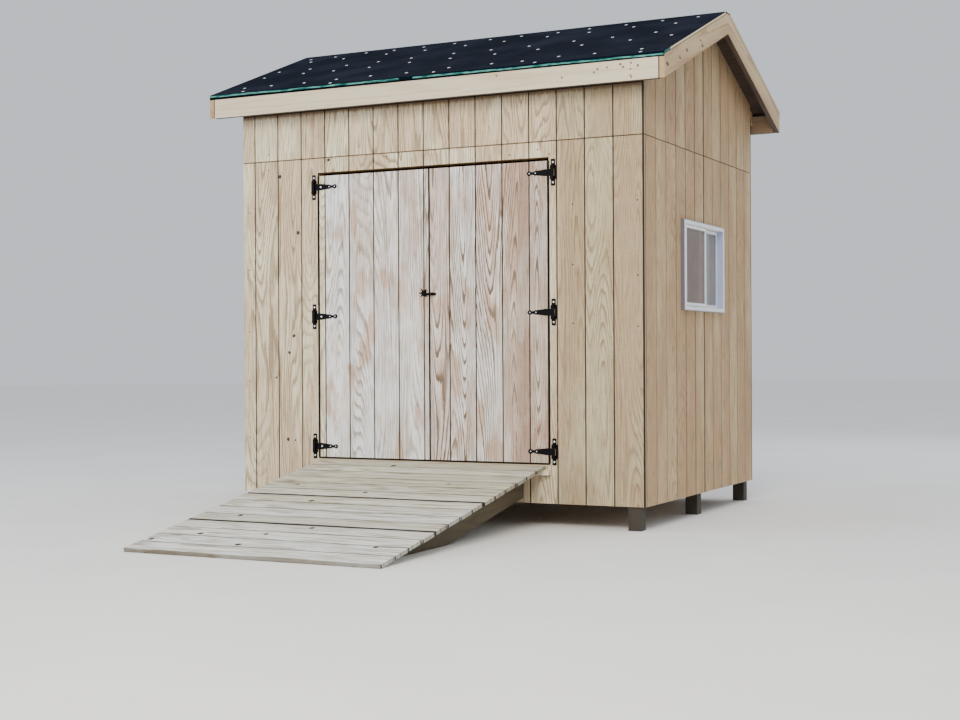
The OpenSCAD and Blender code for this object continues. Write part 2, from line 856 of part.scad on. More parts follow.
// Stretch of the latch bar from x0 to x1, grown by rim all round
module latch_bar(x0, x1, rim) {
    z = leaf_z + latch_z - latch_bar_drop;
    span([x0, front_y - latch_out + latch_bar_setback - rim, z - latch_bar_h / 2 - rim],
        [x1, front_y - (rim > 0 ? 0 : latch_plate_t), z + latch_bar_h / 2 + rim]);
}

// Body of the latch on the left leaf, with its half of the bar up to the meeting edge
module door_latch() {
    edge = left_leaf_x + leaf_w;
    x = edge - latch_inset;
    color("black") {
        translate([x, front_y, leaf_z + latch_z])
            rotate([90, 0, 0]) {
                linear_extrude(latch_plate_t)
                    latch_outline();
                cylinder(h = latch_out, r = latch_housing_r);
            }
        latch_bar(x, edge, 0);
    }
}

module right_door_panel() {
    color("lightgray")
        leaf_panel(right_leaf_x);
}

module right_door_frame() {
    leaf_frame(right_leaf_x);
}

module right_door_straps() {
    color("black")
        translate([2 * doorway_x, 0, 0])
            mirror([1, 0, 0])
                for (z = strap_zs)
                    hinge_strap(z);
}

// Bar end on the right leaf, in the staple that holds it
module latch_keeper() {
    end = right_leaf_x + latch_reach;
    color("black") {
        latch_bar(right_leaf_x, end, 0);
        latch_bar(end - 2 * staple_w, end - staple_w, staple_t);
    }
}

posts();
floor_beams();
floor_joists();
floor_deck();
threshold();
front_wall_left();
front_wall_right();
front_wall_over_door();
front_wall_under_door();
front_wall_upper();
right_wall_front();
right_wall_back();
right_wall_over_window();
right_wall_under_window();
right_gable();
left_wall();
left_gable();
back_wall();
back_wall_upper();
front_framing();
back_framing();
side_framing();
rafters();
ridge_board();
roof_sheathing();
roof_felt();
front_fascia();
back_fascia();
right_rake_boards();
left_rake_boards();
window_frame();
window_sashes();
window_glass();
ramp_ledger();
ramp_stringers();
ramp_deck();
hinge_plates();
left_door_panel();
left_door_frame();
left_door_straps();
door_latch();
right_door_panel();
right_door_frame();
right_door_straps();
latch_keeper();
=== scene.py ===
"""Looks for a small timber shed: grained woods, roofing felt with cap nails, fasteners,
studio light and camera."""

import math
import random

import bmesh
import bpy
from mathutils import Matrix, Vector


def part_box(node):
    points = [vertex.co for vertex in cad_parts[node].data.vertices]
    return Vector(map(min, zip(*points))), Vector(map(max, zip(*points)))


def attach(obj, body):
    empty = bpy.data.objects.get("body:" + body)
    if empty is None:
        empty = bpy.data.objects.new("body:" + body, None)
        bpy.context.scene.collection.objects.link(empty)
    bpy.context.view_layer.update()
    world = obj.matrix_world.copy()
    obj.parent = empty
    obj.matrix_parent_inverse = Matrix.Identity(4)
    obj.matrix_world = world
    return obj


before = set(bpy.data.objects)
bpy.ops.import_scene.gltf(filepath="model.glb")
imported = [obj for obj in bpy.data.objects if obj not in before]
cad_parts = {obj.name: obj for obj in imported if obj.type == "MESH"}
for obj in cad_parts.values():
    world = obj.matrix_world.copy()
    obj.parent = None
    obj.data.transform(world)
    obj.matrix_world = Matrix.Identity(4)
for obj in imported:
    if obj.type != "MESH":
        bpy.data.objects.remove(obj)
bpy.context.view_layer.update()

# Walls: faces of the frame's own pieces and sizes of the siding, in metres
FRONT_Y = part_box("front_wall_left")[0].y
BACK_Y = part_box("back_wall")[1].y
SIDE_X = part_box("front_wall_right")[1].x
SIDING_FOOT_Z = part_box("front_wall_left")[0].z
SHEET_TOP_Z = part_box("front_wall_left")[1].z
FLOOR_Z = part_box("floor_deck")[1].z
RIDGE_Y = (FRONT_Y + BACK_Y) / 2
SIDING_T = 0.0159
PLY_T = 0.0064
# Deeper than the grooves are, where a hollow is a sheet's cut edge
CUT_EDGE_D = 0.0085
GROOVE_PITCH = 0.2032
SHEET_GROOVES = 6
LIP_W = 0.014
RIGHT_EDGE = SIDE_X - LIP_W
FRAME_FRONT_Y = FRONT_Y + SIDING_T

# Door leaves, by half the width of both and half their height
DOOR_X = (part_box("left_door_panel")[0].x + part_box("right_door_panel")[1].x) / 2
LEAF_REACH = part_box("right_door_panel")[1].x - DOOR_X
LEAF_FOOT_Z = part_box("right_door_panel")[0].z
LEAF_HALF_H = (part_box("right_door_panel")[1].z - LEAF_FOOT_Z) / 2
LEAF_MIDDLE_Z = LEAF_FOOT_Z + LEAF_HALF_H
LEAF_GAP = 0.010

# Roof
ROOF_PITCH = math.radians(21.3)
ROOF_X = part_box("roof_felt")[1].x
EAVE_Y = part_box("roof_felt")[0].y
ROOF_TOP_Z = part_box("roof_felt")[1].z
SHEATHING_T = 0.018
# Half of the level strip of felt over the ridge
RIDGE_SLOT = SHEATHING_T / math.sin(ROOF_PITCH)
SHEET_UNDER_RIDGE_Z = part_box("right_rake_boards")[1].z
FASCIA_FOOT_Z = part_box("front_fascia")[0].z
# Joint between a fascia's end and the rake board
JOINT_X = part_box("front_fascia")[1].x + 0.0015

# Ramp
RAMP_BOARDS = 14
RAMP_BOARD_W = 0.152
RAMP_BOARD_GAP = 0.009
RAMP_BOARD_T = 0.025
RAMP_HEAD_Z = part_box("ramp_deck")[1].z
RAMP_LEN = RAMP_BOARDS * RAMP_BOARD_W + (RAMP_BOARDS - 1) * RAMP_BOARD_GAP
RAMP_ANGLE = math.asin(RAMP_HEAD_Z / math.hypot(RAMP_LEN, RAMP_BOARD_T)) - math.atan2(
    RAMP_BOARD_T, RAMP_LEN
)
RAMP_HEAD_Y = FRONT_Y - RAMP_BOARD_T * math.sin(RAMP_ANGLE)


def srgb(red, green, blue):
    """A colour given as 0 to 255 in sRGB, as the linear colour that a shader takes."""
    levels = [c / 255 for c in (red, green, blue)]
    return (*[c / 12.92 if c <= 0.04045 else ((c + 0.055) / 1.055) ** 2.4 for c in levels], 1.0)


class Graph:
    """One material's nodes, with short calls for the kinds that are used here."""

    def __init__(self, name, roughness=0.7):
        self.material = bpy.data.materials.new(name)
        self.material.use_nodes = True
        self.tree = self.material.node_tree
        self.shader = self.tree.nodes["Principled BSDF"]
        self.shader.inputs["Roughness"].default_value = roughness

    def node(self, kind, **settings):
        made = self.tree.nodes.new(kind)
        for key, value in settings.items():
            setattr(made, key, value)
        return made

    def feed(self, socket, value):
        if isinstance(value, bpy.types.NodeSocket):
            self.tree.links.new(value, socket)
        else:
            socket.default_value = value

    def math(self, operation, *values):
        made = self.node("ShaderNodeMath", operation=operation)
        for socket, value in zip(made.inputs, values):
            self.feed(socket, value)
        return made.outputs[0]

    def plus(self, a, b):
        return self.math("ADD", a, b)

    def minus(self, a, b):
        return self.math("SUBTRACT", a, b)

    def times(self, a, b):
        return self.math("MULTIPLY", a, b)

    def most(self, a, b):
        return self.math("MAXIMUM", a, b)

    def size(self, value):
        return self.math("ABSOLUTE", value)

    def apart(self, a, b):
        """How far two values are from each other."""
        return self.size(self.minus(a, b))

    def over(self, a, b):
        """1 where a is over b, else 0."""
        return self.math("GREATER_THAN", a, b)

    def under(self, a, b):
        """1 where a is under b, else 0."""
        return self.math("LESS_THAN", a, b)

    def ease(self, value, low, high):
        """0 where value is at or under low, 1 at or over high, smooth between.
        It falls instead where high is under low."""
        made = self.node("ShaderNodeMapRange", interpolation_type="SMOOTHSTEP")
        falls = high < low
        self.feed(made.inputs["Value"], value)
        made.inputs["From Min"].default_value = min(low, high)
        made.inputs["From Max"].default_value = max(low, high)
        made.inputs["To Min"].default_value = 1.0 if falls else 0.0
        made.inputs["To Max"].default_value = 0.0 if falls else 1.0
        return made.outputs["Result"]

    def vector(self, x=0.0, y=0.0, z=0.0):
        made = self.node("ShaderNodeCombineXYZ")
        for socket, value in zip(made.inputs, (x, y, z)):
            self.feed(socket, value)
        return made.outputs[0]

    def noise(self, vector, scale=1.0, detail=2.0, roughness=0.5):
        made = self.node("ShaderNodeTexNoise")
        self.feed(made.inputs["Vector"], vector)
        made.inputs["Scale"].default_value = scale
        made.inputs["Detail"].default_value = detail
        made.inputs["Roughness"].default_value = roughness
        return made.outputs["Fac"]

    def stretched(self, u, v, u_scale, v_scale, seed=0.0, detail=2.0, roughness=0.5):
        """Noise with a scale of its own each way. The seed only keeps patterns apart."""
        place = self.vector(self.times(u, u_scale), self.times(v, v_scale), seed)
        return self.noise(place, detail=detail, roughness=roughness)

    def cells(self, u, v, scale, seed):
        """Distance to the nearest of one scattered point a cell, and that cell's own number."""
        made = self.node("ShaderNodeTexVoronoi")
        place = self.vector(self.times(u, scale), self.times(v, scale), seed)
        self.feed(made.inputs["Vector"], place)
        made.inputs["Scale"].default_value = 1.0
        pick = self.node("ShaderNodeSeparateColor")
        self.tree.links.new(made.outputs["Color"], pick.inputs[0])
        return made.outputs["Distance"], pick.outputs[0]

    def chance(self, value):
        """A random number from 0 to 1 for each value."""
        made = self.node("ShaderNodeTexWhiteNoise", noise_dimensions="1D")
        self.feed(made.inputs["W"], value)
        return made.outputs["Value"]

    def mix(self, amount, a, b, blend="MIX"):
        made = self.node("ShaderNodeMix", data_type="RGBA", blend_type=blend)
        self.feed(made.inputs[0], amount)
        self.feed(made.inputs[6], a)
        self.feed(made.inputs[7], b)
        return made.outputs[2]

    def toned(self, amount, colour, level, tones):
        """A colour under a soft light that runs from one tone to another with the level."""
        return self.mix(amount, colour, self.mix(level, *tones), blend="SOFT_LIGHT")

    def place(self):
        """The point's place in the frame at rest."""
        return self.node("ShaderNodeTexCoord").outputs["Object"]

    def position(self):
        """The point's place in the frame at rest, as three values."""
        parts = self.node("ShaderNodeSeparateXYZ")
        self.tree.links.new(self.place(), parts.inputs[0])
        return parts.outputs[:]

    def facing(self):
        """The surface's direction at rest, as three values."""
        parts = self.node("ShaderNodeSeparateXYZ")
        self.tree.links.new(self.node("ShaderNodeTexCoord").outputs["Normal"], parts.inputs[0])
        return parts.outputs[:]

    def colour(self, value):
        self.feed(self.shader.inputs["Base Color"], value)

    def relief(self, height, distance, strength=1.0):
        made = self.node("ShaderNodeBump")
        self.feed(made.inputs["Height"], height)
        made.inputs["Distance"].default_value = distance
        made.inputs["Strength"].default_value = strength
        self.feed(self.shader.inputs["Normal"], made.outputs["Normal"])


# Grain, with u across it and v along it


def growth_rings(g, u, v, seed, across, along, count):
    """Late wood from 0 to 1 on contours of a stretched field: a dark line with a soft shade
    on one side."""
    field = g.stretched(u, v, across, along, seed, detail=1.4, roughness=0.4)
    ragged = g.stretched(u, v, 75.0, 5.0, seed, detail=3.0, roughness=0.6)
    saw = g.math("FRACT", g.plus(g.times(field, count), g.times(ragged, 0.7)))
    line = g.times(g.ease(saw, 0.55, 0.85), g.ease(saw, 1.0, 0.94))
    return g.plus(g.times(line, 0.7), g.times(g.times(saw, saw), 0.3))


def fibres(g, u, v, seed):
    """Fine streaks along the grain, about 0.5 on average."""
    return g.stretched(u, v, 420.0, 9.0, seed, detail=3.0, roughness=0.6)


def streaks(g, u, v, seed):
    """Streaks a few millimetres wide along the grain, from 0 to 1."""
    return g.ease(g.stretched(u, v, 115.0, 4.5, seed), 0.32, 0.68)


def saw_marks(g, u, v, seed):
    """Faint marks of the saw across the grain, about 0.5 on average."""
    return g.stretched(u, v, 16.0, 140.0, seed)


def marks(g, u, v, places):
    """1 on each of some ragged marks, given as place along u, place along v and radius."""
    wobble = g.times(g.minus(g.stretched(u, v, 90.0, 90.0, detail=1.0), 0.5), 0.016)
    here = g.vector(g.plus(u, wobble), g.minus(v, wobble))
    total = 0.0
    for at_u, at_v, radius in places:
        gap = g.node("ShaderNodeVectorMath", operation="DISTANCE")
        g.feed(gap.inputs[0], here)
        gap.inputs[1].default_value = (at_u, at_v, 0.0)
        total = g.most(total, g.ease(gap.outputs["Value"], radius, 0.7 * radius))
    return total


# Siding: early wood, late wood and a second tint
WALL_WOOD = (srgb(246, 236, 204), srgb(130, 106, 76), srgb(226, 204, 172))
DOOR_WOOD = (srgb(253, 246, 236), srgb(118, 98, 80), srgb(222, 192, 174))
BLEACHED = srgb(250, 253, 255)
WORN = srgb(176, 158, 132)
SIDING_KNOT = srgb(46, 32, 22)
SHEET_SEAM = srgb(104, 78, 54)
PLIES = (srgb(116, 88, 60), srgb(74, 52, 34))
SAW_TONES = (srgb(60, 52, 42), srgb(255, 252, 246))
FIBRE_TONES = (srgb(50, 42, 32), srgb(255, 252, 246))
# What darkens the right part of the front wall and of a leaf, and the painted shade that darkens
# the shed's ends
DULL = srgb(207, 205, 196)
TANNED = srgb(224, 211, 203)
ENDS_PAINTED_SHADE = srgb(226, 207, 187)
# Tint of the siding's inner faces, which the weather hasn't bleached
INDOORS = srgb(234, 216, 192)
# Grooves, dark raw wood with painted shade; then painted shade in the lip at the corner, on sheet
# edges, in the gaps round the leaves, and under the eave
GROOVE_DARK = srgb(52, 36, 24)
LIP_DARK = srgb(40, 28, 20)
EDGE_DARK = srgb(40, 28, 20)
GAP_DARK = srgb(14, 11, 9)
SHADE_BROWN = srgb(112, 88, 62)

# Grain of the leaves and of the walls: how close rings and patches lie, and how sharp patches are
LEAF_GRAIN = {"along": 0.27, "rings": 62.0, "patch": (9.0, 2.6), "edge": (0.50, 0.64)}
WALL_GRAIN = {"along": 0.36, "rings": 50.0, "patch": (4.5, 0.9), "edge": (0.46, 0.70)}
# Strips between grooves over the width of the front wall
STRIPS = 16
# Strip number past which a leaf is only a sliver at its hinges, with the wall's colour
SLIVER = 12.0
# Heights between which a leaf's bleaching changes from its foot's to its top's
BLEACH_Z = (SIDING_FOOT_Z + 0.9, SIDING_FOOT_Z + 1.8)
# Places where something begins to show, and where it shows in full. First distances from the
# middle of a knot and the sheets' level joint, then, for painted shade, from a side wall's
# groove, the corner groove and the gaps
KNOT_FADE = (0.022, 0.012)
SEAM_FADE = (0.0065, 0.0035)
SIDE_GROOVE_FADE = (0.016, 0.008)
CORNER_FADE = (0.0, 0.001)
LIP_FADE = (0.0115, 0.013)
GAP_FADE = (0.009, 0.007)
GAP_RIM_FADE = (0.0094, 0.0082)
MEETING_RIM_FADE = (0.0074, 0.0062)
# Then heights: a leaf's foot line of painted shade from above and from below, the painted
# shade under the fascia, and the darker painted shade behind it
FOOT_LINE_HEAD = (LEAF_FOOT_Z + 0.0045, LEAF_FOOT_Z + 0.0035)
FOOT_LINE_FOOT = (LEAF_FOOT_Z - 0.002, LEAF_FOOT_Z)
EAVE_SHADE_Z = (FASCIA_FOOT_Z - 0.012, FASCIA_FOOT_Z + 0.022)
EAVE_SHADE_RAG = 0.03
BEHIND_FASCIA_Z = (FASCIA_FOOT_Z + 0.009, FASCIA_FOOT_Z + 0.014)
# Then depths into the siding, from its front and from its back
FRONT_SKIN = (0.0006, 0.0025)
BACK_SKIN = (SIDING_T - 0.0005, SIDING_T - 0.0015)


def by_strip(g, step, levels):
    """A level from 0 to 1 for each strip between grooves, 0 where a strip isn't listed."""
    ramp = g.node("ShaderNodeValToRGB")
    ramp.color_ramp.interpolation = "CONSTANT"
    stops = ramp.color_ramp.elements
    stops[1].position = 1 / STRIPS
    for strip in range(STRIPS):
        stop = stops[strip] if strip < 2 else stops.new(strip / STRIPS)
        level = levels.get(strip, 0.0)
        stop.color = (level, level, level, 1.0)
    g.feed(ramp.inputs[0], g.times(step, 1 / STRIPS))
    return ramp.outputs[0]


def side_grooves(g, step, face, deep):
    """Grooves of a side wall, with painted shade beside each: each shows as strongly as its own
    number says, and most at the sheet joints. Gives the face's colour and the hollows'."""
    from_groove = g.times(g.math("PINGPONG", step, 0.5), GROOVE_PITCH)
    joint = g.under(g.math("PINGPONG", step, SHEET_GROOVES / 2), 0.5)
    own = g.chance(g.plus(g.math("ROUND", step), 0.63))
    uneven = g.plus(g.times(own, 0.4), 0.1)
    shade = g.times(g.ease(from_groove, *SIDE_GROOVE_FADE), g.most(uneven, g.times(joint, 0.8)))
    hollow = g.mix(g.most(joint, uneven), g.mix(0.8, deep, WORN), deep)
    return g.mix(shade, face, GROOVE_DARK), hollow


def front_lines(g, u, z, past, face, deep):
    """Painted shade of the front wall and the leaves: dark lines in and round the gaps round and
    between the leaves, along the leaves' feet, and in the lip, which lies past the last groove.
    Gives the face's colour and the hollows'."""
    lip = g.mix(g.ease(past, *LIP_FADE), LIP_DARK, WORN)
    corner = g.mix(g.ease(past, *CORNER_FADE), deep, lip)
    aside = g.apart(u, DOOR_X)
    to_gap = g.apart(aside, LEAF_REACH + LEAF_GAP / 2)
    at_leaf = g.ease(g.apart(z, LEAF_MIDDLE_Z), LEAF_HALF_H, LEAF_HALF_H - 0.001)
    in_gap = g.times(g.most(g.ease(to_gap, *GAP_FADE), g.ease(aside, *GAP_FADE)), at_leaf)
    rim = g.most(g.ease(to_gap, *GAP_RIM_FADE), g.ease(aside, *MEETING_RIM_FADE))
    foot = g.times(g.ease(z, *FOOT_LINE_HEAD), g.ease(z, *FOOT_LINE_FOOT))
    foot_rim = g.times(foot, g.ease(aside, LEAF_REACH + 0.002, LEAF_REACH))
    face = g.mix(g.most(g.times(rim, at_leaf), foot_rim), face, GAP_DARK)
    return face, g.mix(in_gap, corner, GAP_DARK)


def under_eave(g, u, z, own, face):
    """The face's colour with ragged brown painted shade under the fascia, and darker painted shade
    behind it.
    """
    edge_wobble = g.times(g.noise(g.vector(g.times(u, 60.0), 0.0, own)), EAVE_SHADE_RAG)
    eave_shaded = g.mix(g.ease(g.plus(z, edge_wobble), *EAVE_SHADE_Z), face, SHADE_BROWN)
    return g.mix(g.ease(z, *BEHIND_FASCIA_Z), eave_shaded, GAP_DARK)


def siding(name, wood, across, first_groove, face, figure, seed, dull, bleach=None, knots=()):
    """Grooved plywood with a peeled face. across is the wall's own axis, first_groove its
    sheet's edge and figure the strength of its rings. dull gives where a darker colour begins,
    where it is full, and that colour. bleach gives how pale each strip is at its top and at
    its foot, and knots the large ones."""
    light, dark, tint = wood
    kind = LEAF_GRAIN if bleach else WALL_GRAIN
    g = Graph(name, roughness=0.82)
    x, y, z = g.position()
    u, d = (x, y) if across == "x" else (y, x)
    depth = g.apart(d, face)
    indoors = g.over(depth, 0.9 * SIDING_T)
    step = g.math("DIVIDE", g.apart(u, first_groove), GROOVE_PITCH)
    sheet = g.math("FLOOR", g.math("DIVIDE", step, float(SHEET_GROOVES)))
    upper = g.over(z, SHEET_TOP_Z + 0.001)
    own = g.plus(g.plus(g.times(sheet, 7.31), g.times(upper, 3.17)), seed)
    rings = growth_rings(g, u, z, own, 3.4, kind["along"], kind["rings"])
    fine = fibres(g, u, z, own)

    # The ground under the grain
    luck = g.chance(g.plus(g.times(g.math("FLOOR", step), 1.7), g.plus(own, 0.5)))
    patch = g.stretched(u, z, *kind["patch"], g.plus(own, 9.0), detail=3.0)
    shade = g.mix(g.ease(g.plus(patch, g.times(luck, 0.2)), *kind["edge"]), light, tint)
    if bleach:
        high = g.ease(z, *BLEACH_Z)
        low = g.minus(1.0, high)
        at_top, at_foot = (by_strip(g, step, levels) for levels in bleach)
        level = g.plus(g.times(at_top, high), g.times(at_foot, low))
        cloud = g.stretched(u, z, 11.0, 3.0, g.plus(own, 4.0), detail=3.0)
        shade = g.mix(g.times(level, g.ease(cloud, 0.36, 0.50)), shade, BLEACHED)
        shade = g.mix(g.most(g.over(step, SLIVER), indoors), shade, WALL_WOOD[0])
    shade = g.mix(g.ease(u, dull[0], dull[1]), shade, dull[2], blend="MULTIPLY")
    shade = g.mix(indoors, shade, INDOORS, blend="MULTIPLY")

    # Rings, worn blotches, streaks, saw marks and fibres
    vivid = g.stretched(u, z, 5.0, 0.8, g.plus(own, 21.0), detail=1.0)
    strength = g.times(g.plus(g.ease(vivid, 0.3, 0.65), 0.45), figure)
    shade = g.mix(g.times(rings, strength), shade, dark)
    blotch = g.stretched(u, z, 17.0, 5.0, g.plus(own, 33.0), detail=3.0)
    shade = g.mix(g.times(g.ease(blotch, 0.45, 0.72), 0.4), shade, WORN)
    threads = g.ease(g.stretched(u, z, 210.0, 6.0, own), 0.52, 0.64)
    lining = g.plus(g.times(streaks(g, u, z, own), 0.24), g.times(threads, 0.42))
    if bleach:
        lining = g.times(lining, g.minus(1.0, g.times(g.times(level, low), 0.5)))
    shade = g.mix(lining, shade, dark)
    shade = g.toned(0.22, shade, saw_marks(g, u, z, own), SAW_TONES)
    shade = g.toned(0.4, shade, fine, FIBRE_TONES)

    # Knots, the joint under the upper sheets, and lines of painted shade
    spread, pick = g.cells(u, z, 2.6, own)
    knot = g.times(g.ease(spread, *KNOT_FADE), g.over(pick, 0.5))
    if knots:
        knot = g.most(knot, marks(g, u, z, knots))
    shade = g.mix(g.times(knot, 0.95), shade, SIDING_KNOT)
    seam = g.ease(g.apart(z, SHEET_TOP_Z + 0.002), *SEAM_FADE)
    shade = g.mix(g.times(seam, 0.7 if across == "x" else 0.45), shade, SHEET_SEAM)
    # Dark raw wood and painted shade in the grooves, painted shade on the sheets' cut edges
    hollow = g.mix(g.over(depth, CUT_EDGE_D), GROOVE_DARK, EDGE_DARK)
    if across == "y":
        shade, hollow = side_grooves(g, step, shade, hollow)
    if face == FRONT_Y:
        shade, hollow = front_lines(g, u, z, g.minus(u, first_groove), shade, hollow)
    if across == "x":
        shade = under_eave(g, u, z, own, shade)

    # Inside the thickness: plies on level cuts, the hollows' colour elsewhere
    inside = g.times(g.ease(depth, *FRONT_SKIN), g.ease(depth, *BACK_SKIN))
    level_cut = g.over(g.size(g.facing()[2]), 0.7)
    no_end = g.under(g.size(g.facing()["xyz".index(across)]), 0.5)
    ply = g.ease(g.math("FRACT", g.times(depth, 1 / PLY_T)), 0.42, 0.58)
    cut = g.mix(g.times(level_cut, no_end), hollow, g.mix(ply, *PLIES))
    g.colour(g.mix(inside, shade, cut))
    g.relief(g.plus(g.times(fine, 0.5), g.times(rings, 0.6)), 0.0008)
    return g.material


# Sawn lumber: light and dark colour of each kind
FRAMING_WOOD = (srgb(196, 168, 122), srgb(142, 104, 62))
TRIM_WOOD = (srgb(222, 212, 188), srgb(190, 164, 124))
RAKE_WOOD = (srgb(210, 184, 140), srgb(158, 118, 74))
LEDGER_WOOD = (srgb(240, 230, 204), srgb(190, 164, 124))
FLOOR_WOOD = (srgb(190, 166, 126), srgb(140, 110, 74))
# The posts' colours are darkened with painted shade
SHADED_POST_WOOD = (srgb(64, 57, 45), srgb(42, 36, 28))
BEARER_WOOD = (srgb(92, 82, 62), srgb(52, 44, 32))
LUMBER_KNOT = srgb(84, 54, 34)
LARGE_KNOT = srgb(70, 44, 28)
LUMBER_TONES = (srgb(70, 60, 48), srgb(255, 250, 240))
# Painted shade on faces of the trim that look down, and on those that look towards the shed
TRIM_UNDERSIDE_SHADE = srgb(72, 54, 38)
INNER_FACE_SHADE = srgb(120, 88, 62)
# How far a step through a board's thickness counts as one across its face
THROUGH = 0.83
# A rake board's knots are cut at a slant, longer along the board by the inverse of this
KNOT_SQUEEZE = 0.45
# Where a knot, its halo and a corner joint begin to show and show in full, by distance
LUMBER_KNOT_FADE = (0.04, 0.024)
HALO_FADE = (0.12, 0.03)
JOINT_FADE = (0.0055, 0.0035)
# The same for faces by how far they look down, and by how far they look towards the shed
LOOKS_DOWN = (-0.3, -0.7)
LOOKS_IN = (0.7, 0.9)


def trim_shade(g, rings, under, shade):
    """The trim's colour with painted shade: dark undersides, brown inner faces, a joint at each
    corner.
    """
    x, y, z = g.position()
    shade = g.mix(g.ease(g.facing()[2], *LOOKS_DOWN), shade, g.mix(rings, under, GROOVE_DARK))
    inward = g.times(g.facing()[1], g.math("SIGN", g.minus(RIDGE_Y, y)))
    shade = g.mix(g.times(g.ease(inward, *LOOKS_IN), 0.85), shade, INNER_FACE_SHADE)
    joint = g.ease(g.apart(g.size(x), JOINT_X), *JOINT_FADE)
    return g.mix(g.times(joint, 0.85), shade, EDGE_DARK)


def lumber(name, along, wood, knots=0.5, roughness=0.7, under=None, figure=0.3, big=()):
    """Sawn board with its grain along an axis, or along the roof's slope for "slope". knots is
    the share of cells with one. under is the painted shade of its faces that look down. big gives
    larger knots by their places to the right and up, or to the back and up on a slope."""
    light, dark = wood
    g = Graph(name, roughness=roughness)
    x, y, z = g.position()
    sloping = along == "slope"
    if sloping:
        run = g.apart(y, RIDGE_Y)
        lean, rise = math.cos(ROOF_PITCH), math.sin(ROOF_PITCH)
        v = g.minus(g.times(run, lean), g.times(z, rise))
        a, b = x, g.plus(g.times(z, lean), g.times(run, rise))
        along = "y"
    else:
        places = {"x": x, "y": y, "z": z}
        v = places.pop(along)
        a, b = places.values()
    u = g.plus(a, g.times(b, THROUGH))
    rings = growth_rings(g, u, v, 1.3, 8.0, 0.4, 9.0)
    fine = fibres(g, u, v, 1.3)
    tone = g.stretched(u, v, 5.0, 0.8, 1.3)
    shade = g.mix(g.times(g.ease(tone, 0.3, 0.7), 0.35), light, dark)
    grain = g.plus(g.times(rings, figure), g.times(streaks(g, u, v, 2.6), 0.2))
    shade = g.mix(grain, shade, dark)
    spread, pick = g.cells(u, v, 3.4, 1.3)
    some = g.under(pick, knots)
    halo = g.times(g.ease(spread, *HALO_FADE), some)
    shade = g.mix(g.times(halo, 0.35), shade, dark)
    knot = g.times(g.ease(spread, *LUMBER_KNOT_FADE), some)
    shade = g.mix(g.times(knot, 0.85), shade, LUMBER_KNOT)
    if big:
        squeeze = KNOT_SQUEEZE if sloping else 1.0
        oval = tuple((squeeze * reach, up, radius) for reach, up, radius in big)
        spots = marks(g, g.times(y if sloping else x, squeeze), z, oval)
        shade = g.mix(g.times(spots, 0.9), shade, LARGE_KNOT)
    shade = g.toned(0.2, shade, fine, LUMBER_TONES)
    end = g.size(g.facing()["xyz".index(along)])
    shade = g.mix(g.times(g.ease(end, 0.8, 0.95), 0.35), shade, dark)
    if under:
        shade = trim_shade(g, rings, under, shade)
    g.colour(shade)
    g.relief(g.plus(g.times(fine, 0.6), g.times(rings, 0.4)), 0.0005)
    return g.material


# Ramp: ground of its upper and its lower boards, toning, grain, knots, sawn ends and painted shade
RAMP_GROUND = (srgb(228, 225, 204), srgb(250, 255, 255))
RAMP_TONING = srgb(178, 166, 138)
RAMP_GRAIN = srgb(122, 106, 76)
RAMP_TONES = (srgb(60, 56, 48), srgb(255, 255, 245))
RAMP_KNOT = srgb(44, 28, 18)
RAMP_PIN_KNOT = srgb(74, 52, 36)
RAMP_RIM = srgb(84, 70, 48)
RAMP_JOINT = srgb(38, 28, 20)
RAMP_END = srgb(96, 88, 70)
RAMP_CORNER_SHADE = srgb(22, 17, 12)
# Larger knots of the ramp: to the right, down the slope, and radius
RAMP_KNOTS = (
    (-0.233, 0.130, 0.022), (-0.050, 0.836, 0.019), (-0.308, 1.082, 0.024), (-0.589, 1.475, 0.022),
    (0.061, 1.658, 0.021), (-0.159, 1.825, 0.019), (-0.597, 1.885, 0.023), (-0.202, 2.052, 0.023),
    (0.674, 1.952, 0.020), (-0.845, 2.045, 0.023), (0.420, 0.560, 0.014), (-0.660, 0.700, 0.015),
)
# Joints of the ramp that are dark with painted shade, by the number of the board before each
DARK_JOINTS = (5.0, 9.0)
# Where its small knots, and the painted shade on its rims, dark joints and end corners, begin to
# show and show in full
PIN_KNOT_FADE = (0.022, 0.013)
RIM_FADE = (0.007, 0.001)
DARK_JOINT_FADE = (0.022, 0.010)
CORNER_SHADE_FADE = (0.014, 0.007)


